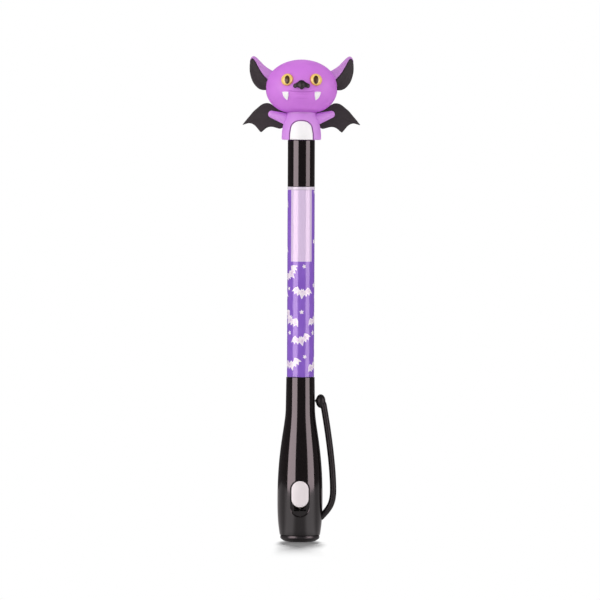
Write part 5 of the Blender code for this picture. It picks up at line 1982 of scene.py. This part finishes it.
    def eye_frame(self, side: Side) -> tuple[Array, Array]:
        """Place of an eye on the face.

        Args:
            side: Which eye.

        Returns:
            Its centre, and a matrix whose columns are the directions to its side, its depth
            and its top.
        """
        x, z = side.value * self.eye_out, self.level + self.eye_up
        step = 0.1
        here, beside, above = (float(self.front(np.array(x + dx), np.array(z + dz)))
                               for dx, dz in ((0, 0), (step, 0), (0, step)))
        normal = unit(np.cross((0, above - here, step), (step, beside - here, 0)))
        normal = normal if normal[1] > 0 else -normal
        sideways = unit(np.cross(normal, (0, 0, 1)))
        return np.array((x, here, z)), np.stack((sideways, normal, np.cross(sideways, normal)), axis=1)

    def eye_front(self, side: Side, x: Array, z: Array) -> Array:
        """Y of an eye's dome at (x, z).

        Formula: the nearer root of the quadratic that says where a line along Y meets the
        ellipsoid.

        Args:
            side: Which eye.
            x: Distance from the middle.
            z: Height.

        Returns:
            One Y for each place.
        """
        centre, axes = self.eye_frame(side)
        shrink = np.diag(1 / np.array((self.eye_radius, self.eye_height, self.eye_radius))) @ axes.T
        rest = np.stack((x - centre[0], 0 * x, z - centre[2]), -1) @ shrink.T
        ray = shrink[:, 1]
        a, b = ray @ ray, rest @ ray
        c = (rest ** 2).sum(-1) - 1
        return centre[1] + (-b - np.sqrt(np.maximum(b * b - a * c, 0))) / a

    def eye(self, side: Side) -> Piece:
        """An eye: a low dome, half an ellipsoid, with its rim marked.

        Args:
            side: Which of the two it is.

        Returns:
            The piece.
        """
        centre, axes = self.eye_frame(side)
        turn = np.linspace(0, math.tau, 96, endpoint=False)
        out = np.concatenate((np.linspace(0, math.pi / 2, 30), np.linspace(math.pi / 2, math.pi, 12)[1:]))
        radial = self.eye_radius * np.sin(out)[:, None]
        lift = np.where(out < math.pi / 2, self.eye_height, self.eye_sunk) * np.cos(out)
        local = np.stack((radial * np.cos(turn), -lift[:, None] + 0 * turn, radial * np.sin(turn)), -1)
        rim = np.repeat(np.sin(out)[:, None], len(turn), axis=1)
        return skin(f"bat_eye_{side.label}_paint", local @ axes.T + centre, marks={"rim": rim})

    def pupil(self, side: Side) -> Piece:
        """A pupil: an upright oval that lies on the dome of the eye, with its rim marked.

        Args:
            side: Which of the two it is.

        Returns:
            The piece.
        """
        turn = np.linspace(0, math.tau, 80, endpoint=False)
        back, front = np.linspace(0, 1, 12)[:, None], np.linspace(1, 0, 22)[:, None]
        size = np.concatenate((back, front))
        lift = np.concatenate((0 * back - self.pupil_sunk, self.pupil_proud * round_end(front, 6)))
        x = side.value * self.eye_out + self.pupil_half[0] * size * np.cos(turn)
        z = self.level + self.eye_up + self.pupil_half[1] * size * np.sin(turn)
        rings = np.stack((x, self.eye_front(side, x, z) - lift, z), -1)
        return skin(f"bat_pupil_{side.label}_paint", rings, marks={"rim": size + 0 * turn})

    def ear(self, side: Side) -> tuple[Piece, Piece]:
        """An ear: a purple shell, hollowed in front for the black inner ear.

        Args:
            side: Which ear.

        Returns:
            The shell and the inner ear.
        """
        shell_points = ((4.5, 11.15), (5.3, 10.5), (5.75, 8.0), (5.4, 4.2), (4.2, 1.2), (1.8, -0.7),
                        (-3.4, 0.0), (-3.6, 5.2), (0.1, 7.5), (2.3, 9.65), (3.6, 10.85))
        inner_points = ((4.75, 10.1), (5.4, 9.5), (5.8, 7.4), (5.4, 3.9), (4.0, 0.9), (1.7, -0.9),
                        (-1.4, -0.9), (-1.4, 2.0), (1.0, 4.35), (3.0, 7.5), (4.2, 9.6))
        roots = (6, 7)
        place = np.array((side.value * self.half_width, self.level))
        mirror = (side.value, 1)
        outline = flowing(shell_points, roots, 220, 0.2) * mirror + place
        inner = flowing(inner_points, roots, 200, 0.14) * mirror + place
        front = self.set_back - self.ear_depth / 2
        back = self.set_back + self.ear_depth / 2
        hollow = self.inner_ear_sunk + self.inner_ear_depth

        def hollowed(x: Array, z: Array) -> Array:
            """Y of the shell's front, sunk where the inner ear lies."""
            return front + ramp(depth_inside(x, z, inner), -0.25, -0.05) * hollow

        def cupped(x: Array, z: Array) -> Array:
            """Y of the inner ear's front, a shallow bowl."""
            return front + self.inner_ear_sunk + 0.3 * ramp(depth_inside(x, z, inner), 0.3, 2.6)

        shell = slab(outline, place + (side.value * 2.0, 4.2), hollowed,
                     lambda x, z: back - 0.1 * (z - self.level) / 11, 0.75, 0.9, coarse=34)
        middle = place + (side.value * 2.9, 3.4)
        plug = slab(inner, middle, cupped, plane(front + hollow - 0.02), 0.25, 0.05, coarse=22)
        return skin(f"bat_ear_{side.label}_vinyl", shell), skin(f"bat_inner_ear_{side.label}_vinyl", plug)

    def build(self) -> None:
        """Make and dress the head and what is on it."""
        WARDROBE.dress("pen", self.head(), PURPLE_FACE, "bat_purple", "bat_head")
        WARDROBE.dress("pen", self.nose(), NOSE_VINYL, "bat_black", "bat_nose")
        for side in Side:
            shell, inner = self.ear(side)
            WARDROBE.dress("pen", shell, PURPLE_EAR, "bat_purple", f"bat_ear_{side.label}")
            WARDROBE.dress("pen", inner, BLACK_VINYL, "bat_black", f"bat_inner_ear_{side.label}")
            WARDROBE.dress("pen", self.eye(side), EYE_PAINT, "eye_yellow", f"bat_eye_{side.label}")
            WARDROBE.dress("pen", self.pupil(side), PUPIL_PAINT, "pupil_brown", f"bat_pupil_{side.label}")
            WARDROBE.dress("pen", self.fang(side), WHITE_VINYL, "bat_white", f"bat_fang_{side.label}")


# Studio

@dataclass(frozen=True)
class SoftBox:
    """A tall soft box that shows only as a reflection: its bearing, width and brightness."""

    name: str
    bearing: float              # degrees round from the camera, to the left below 0
    spread: float               # degrees that it covers
    brightness: float
    tint: Colour = (1.0, 0.81, 0.86)
    low: float = -0.25
    high: float = 0.8
    distance: float = 1.25


@dataclass(frozen=True)
class Sun:
    """A wide distant lamp that does not show in reflections."""

    name: str
    bearing: float              # degrees round from the camera, to the left below 0
    height: float               # degrees above the floor
    strength: float             # light on a white card that faces it, where 1 is plain white
    softness: float             # degrees that it covers


@dataclass
class Studio:
    """Camera, floor, backdrop and lamps. Its lengths are in metres."""

    camera_distance: float = 1.8
    camera_height: float = 0.135
    aim: tuple[float, float, float] = (-0.00027, 0.0, 0.0869)
    roll: float = 0.22
    sensor_width: float = 36.0
    frame_width: float = 0.216
    camera_range: Pair = (0.01, 50.0)
    ambient: float = 0.45
    dim: float = 0.13
    table: tuple[Pair, ...] = (
        (-0.27, -0.3), (0.27, -0.3), (0.75, -0.05), (0.75, 0.3), (-0.75, 0.3), (-0.75, -0.05),
    )
    shade_reach: Pair = (0.032, 0.08)       # distance from the foot over which the shadow ends
    shade_half: Pair = (3.8e-5, 1.1e-4)     # square of its half width, likewise
    shade_taper: float = 0.0048             # how much it narrows towards the back
    shade_side: Pair = (-2e-5, 7e-5)
    # painted shade round the foot, in the table's reflection
    painted_foot_shade: Pair = (0.004, 0.02)         # dark ring of the table's reflection round the foot
    glare_side: Pair = (-0.05, 0.5)         # where its bright part starts, as a cosine
    glare_front: Pair = (0.78, 0.98)        # and where it ends in front
    table_sun: Sun = Sun("table_light", 178, 60, 1.75, 12)
    suns: tuple[Sun, ...] = (
        Sun("left_light", -62, 20, 0.36, 60),
        Sun("right_light", 62, 20, 0.24, 60),
        Sun("top_light", -10, 62, 0.17, 40),
    )
    boxes: tuple[SoftBox, ...] = (SoftBox("left_box", -46.5, 43, 6.9), SoftBox("right_box", 59.4, 36, 5.8))

    def camera(self) -> None:
        """Set the camera where the photograph was taken from."""
        data = bpy.data.cameras.new("photo_camera")
        place = Vector((self.aim[0], -self.camera_distance, self.camera_height))
        sight = Vector(self.aim) - place
        data.sensor_width = self.sensor_width
        data.lens = self.sensor_width * sight.length / self.frame_width
        data.clip_start, data.clip_end = self.camera_range
        camera = linked("photo_camera", data)
        facing = sight.to_track_quat("-Z", "Y").to_matrix().to_4x4()
        camera.matrix_world = (Matrix.Translation(place) @ facing
                               @ Matrix.Rotation(math.radians(self.roll), 4, "Z"))
        bpy.context.scene.camera = camera

    def sheet(self, paint: Paint, shader: Socket, points: Sequence[Sequence[float]],
              faces: Sequence[Sequence[int]]) -> Piece:
        """An object of the studio, marked as backdrop.

        Args:
            paint: The start of its material, whose name it takes.
            shader: The shader of its surface.
            points: Its points.
            faces: The numbers of each face's points.

        Returns:
            The object.
        """
        material = paint.finish(shader)
        mesh = bpy.data.meshes.new(material.name)
        mesh.from_pydata(points, [], faces)
        mesh.materials.append(material)
        sheet = linked(material.name, mesh)
        sheet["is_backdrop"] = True
        return sheet

    def floor(self) -> None:
        """A white table top that keeps the shadow round the pen's foot and fades into the backdrop.

        Formula: the camera sees the lit table near the pen and plain white further off. In
        reflections the table is a painted glow: dim, with painted shade round the foot and painted
        light, brighter to the front left and the front right. Its bounce on the pen is that of a grey card.
        """
        paint = Paint("white_floor")
        camera, gloss, through, soft = paint.rays("Camera", "Glossy", "Transmission", "Diffuse")
        card = paint.mix((0.6, 0.6, 0.6), (0.45, 0.45, 0.45), soft)
        lit = paint.node("BsdfDiffuse", None, {"Color": card})
        white = paint.glow((1, 1, 1), 1.0)
        # glows seen only in reflections, in place of the lit table: painted shade round the foot, and
        # painted light, brighter to the front sides
        dark, dull, bright = (paint.glow((1, 0.93, 0.95), strength) for strength in (0.15, 0.6, 1.7))
        x, y = paint.axis("X"), paint.axis("Y")
        away = (x * x + y * y) ** 0.5
        ahead = y * -1.0 / away
        glare = ahead.step(*self.glare_side) * (1.0 - ahead.step(*self.glare_front))
        wide = (x * x).step(*self.shade_half)
        beside = (x * x + y * self.shade_taper).step(*self.shade_side)
        shade = (1.0 - away.step(*self.shade_reach)) * (1.0 - wide) * (1.0 - beside)
        seen = (camera + through).clipped() * (1.0 - shade)
        painted_table_glow = paint.shift(away.step(*self.painted_foot_shade), dark, paint.shift(glare, dull, bright))
        surface = paint.shift(gloss, paint.shift(seen, lit, white), painted_table_glow)
        rim = [(side, front, 0) for side, front in self.table]
        self.link_lamps(self.sheet(paint, surface, rim, [range(len(rim))]))

    def link_lamps(self, floor: Piece) -> None:
        """Give the floor a lamp of its own from behind, and keep the object's lamps off it.

        Args:
            floor: The floor.
        """
        only = bpy.data.collections.new("table_only")
        only.objects.link(floor)
        self.sun(self.table_sun).light_linking.receiver_collection = only
        spared = bpy.data.collections.new("all_but_table")
        spared.objects.link(floor)
        spared.collection_objects[0].light_linking.link_state = "EXCLUDE"
        for sun in self.suns:
            self.sun(sun).light_linking.receiver_collection = spared

    def world(self) -> None:
        """White to the camera and in reflections, and a soft even light for the rest."""
        sky = Paint("studio_world", world=True)
        camera, gloss, through = sky.rays("Camera", "Glossy", "Transmission")
        seen = camera.at_least(gloss).at_least(through)
        strength = sky.node("MapRange", None, {"Value": seen, "To Min": self.ambient, "To Max": 1.0})
        light = sky.node("Background", None, {"Color": (1, 1, 1, 1), "Strength": strength})
        bpy.context.scene.world = sky.finish(light)

    def dark_studio(self) -> None:
        """The dim studio round the table, seen only in reflections, open to the backdrop.

        Formula: a wall that leans in to a ceiling, turned about the table, without the part
        behind the pen.
        """
        profile = np.array(((2.6, -2.0), (2.6, 1.5), (2.2, 2.6), (1.2, 3.2), (0.0, 3.4)))
        turn = np.radians(np.linspace(-165, 165, 61))
        radius, height = profile[:, :1], profile[:, 1:]
        grid = np.stack((radius * np.sin(turn), -radius * np.cos(turn), height + 0 * turn), -1)
        index = np.arange(grid.shape[0] * grid.shape[1]).reshape(grid.shape[:2])
        quads = np.stack((index[:-1, :-1], index[:-1, 1:], index[1:, 1:], index[1:, :-1]), -1)
        paint = Paint("dim_wall")
        wall = self.sheet(paint, paint.glow((1, 0.9, 0.94), self.dim), grid.reshape(-1, 3).tolist(),
                          quads.reshape(-1, 4).tolist())
        wall.visible_camera = wall.visible_diffuse = wall.visible_shadow = False
        wall.visible_transmission = False

    def soft_box(self, box: SoftBox) -> None:
        """Stand a soft box beside the camera, facing the pen.

        Args:
            box: The soft box.
        """
        data = bpy.data.lights.new(box.name, "AREA")
        data.shape = "RECTANGLE"
        data.size = width = 2 * box.distance * math.tan(math.radians(box.spread / 2))
        data.size_y = tall = box.high - box.low
        data.energy = math.pi * width * tall * box.brightness
        data.color = box.tint
        lamp = linked(box.name, data)
        bearing = math.radians(box.bearing)
        place = Vector((math.sin(bearing), -math.cos(bearing), 0)) * box.distance
        facing = (-place).to_track_quat("-Z", "Y").to_matrix().to_4x4()
        lamp.matrix_world = Matrix.Translation(place + Vector((0, 0, (box.low + box.high) / 2))) @ facing
        lamp.visible_camera = lamp.visible_diffuse = lamp.visible_transmission = False

    def sun(self, sun: Sun) -> Piece:
        """Hang a distant lamp.

        Args:
            sun: What the lamp is like.

        Returns:
            The lamp.
        """
        data = bpy.data.lights.new(sun.name, "SUN")
        data.energy = math.pi * sun.strength
        data.angle = math.radians(sun.softness)
        lamp = linked(sun.name, data)
        around, up = math.radians(sun.bearing), math.radians(sun.height)
        place = Vector((math.sin(around) * math.cos(up), -math.cos(around) * math.cos(up), math.sin(up)))
        lamp.rotation_euler = (-place).to_track_quat("-Z", "Y").to_euler()
        lamp.visible_camera = lamp.visible_glossy = lamp.visible_transmission = False
        return lamp

    def build(self) -> None:
        """Set up everything round the pen."""
        self.camera()
        self.floor()
        self.world()
        self.dark_studio()
        for box in self.boxes:
            self.soft_box(box)
        bpy.context.scene.view_settings.view_transform = "Standard"


def corners() -> list[list[float]]:
    """Lowest and highest corner of what shows, as plain lists."""
    return [list(corner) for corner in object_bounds()]


def main() -> None:
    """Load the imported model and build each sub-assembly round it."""
    logging.basicConfig(level=logging.INFO, format="%(message)s")
    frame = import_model()
    nodes = frame["nodes"]
    cap = Cap()
    assemblies = (Studio(), LightModule(nodes), cap, Switch(cap, nodes), Clip(cap), Pen(), BatBody(),
                  BatHead())
    for assembly in assemblies:
        log.info("building %s", type(assembly).__name__)
        assembly.build()


if __name__ == "__main__":
    main()
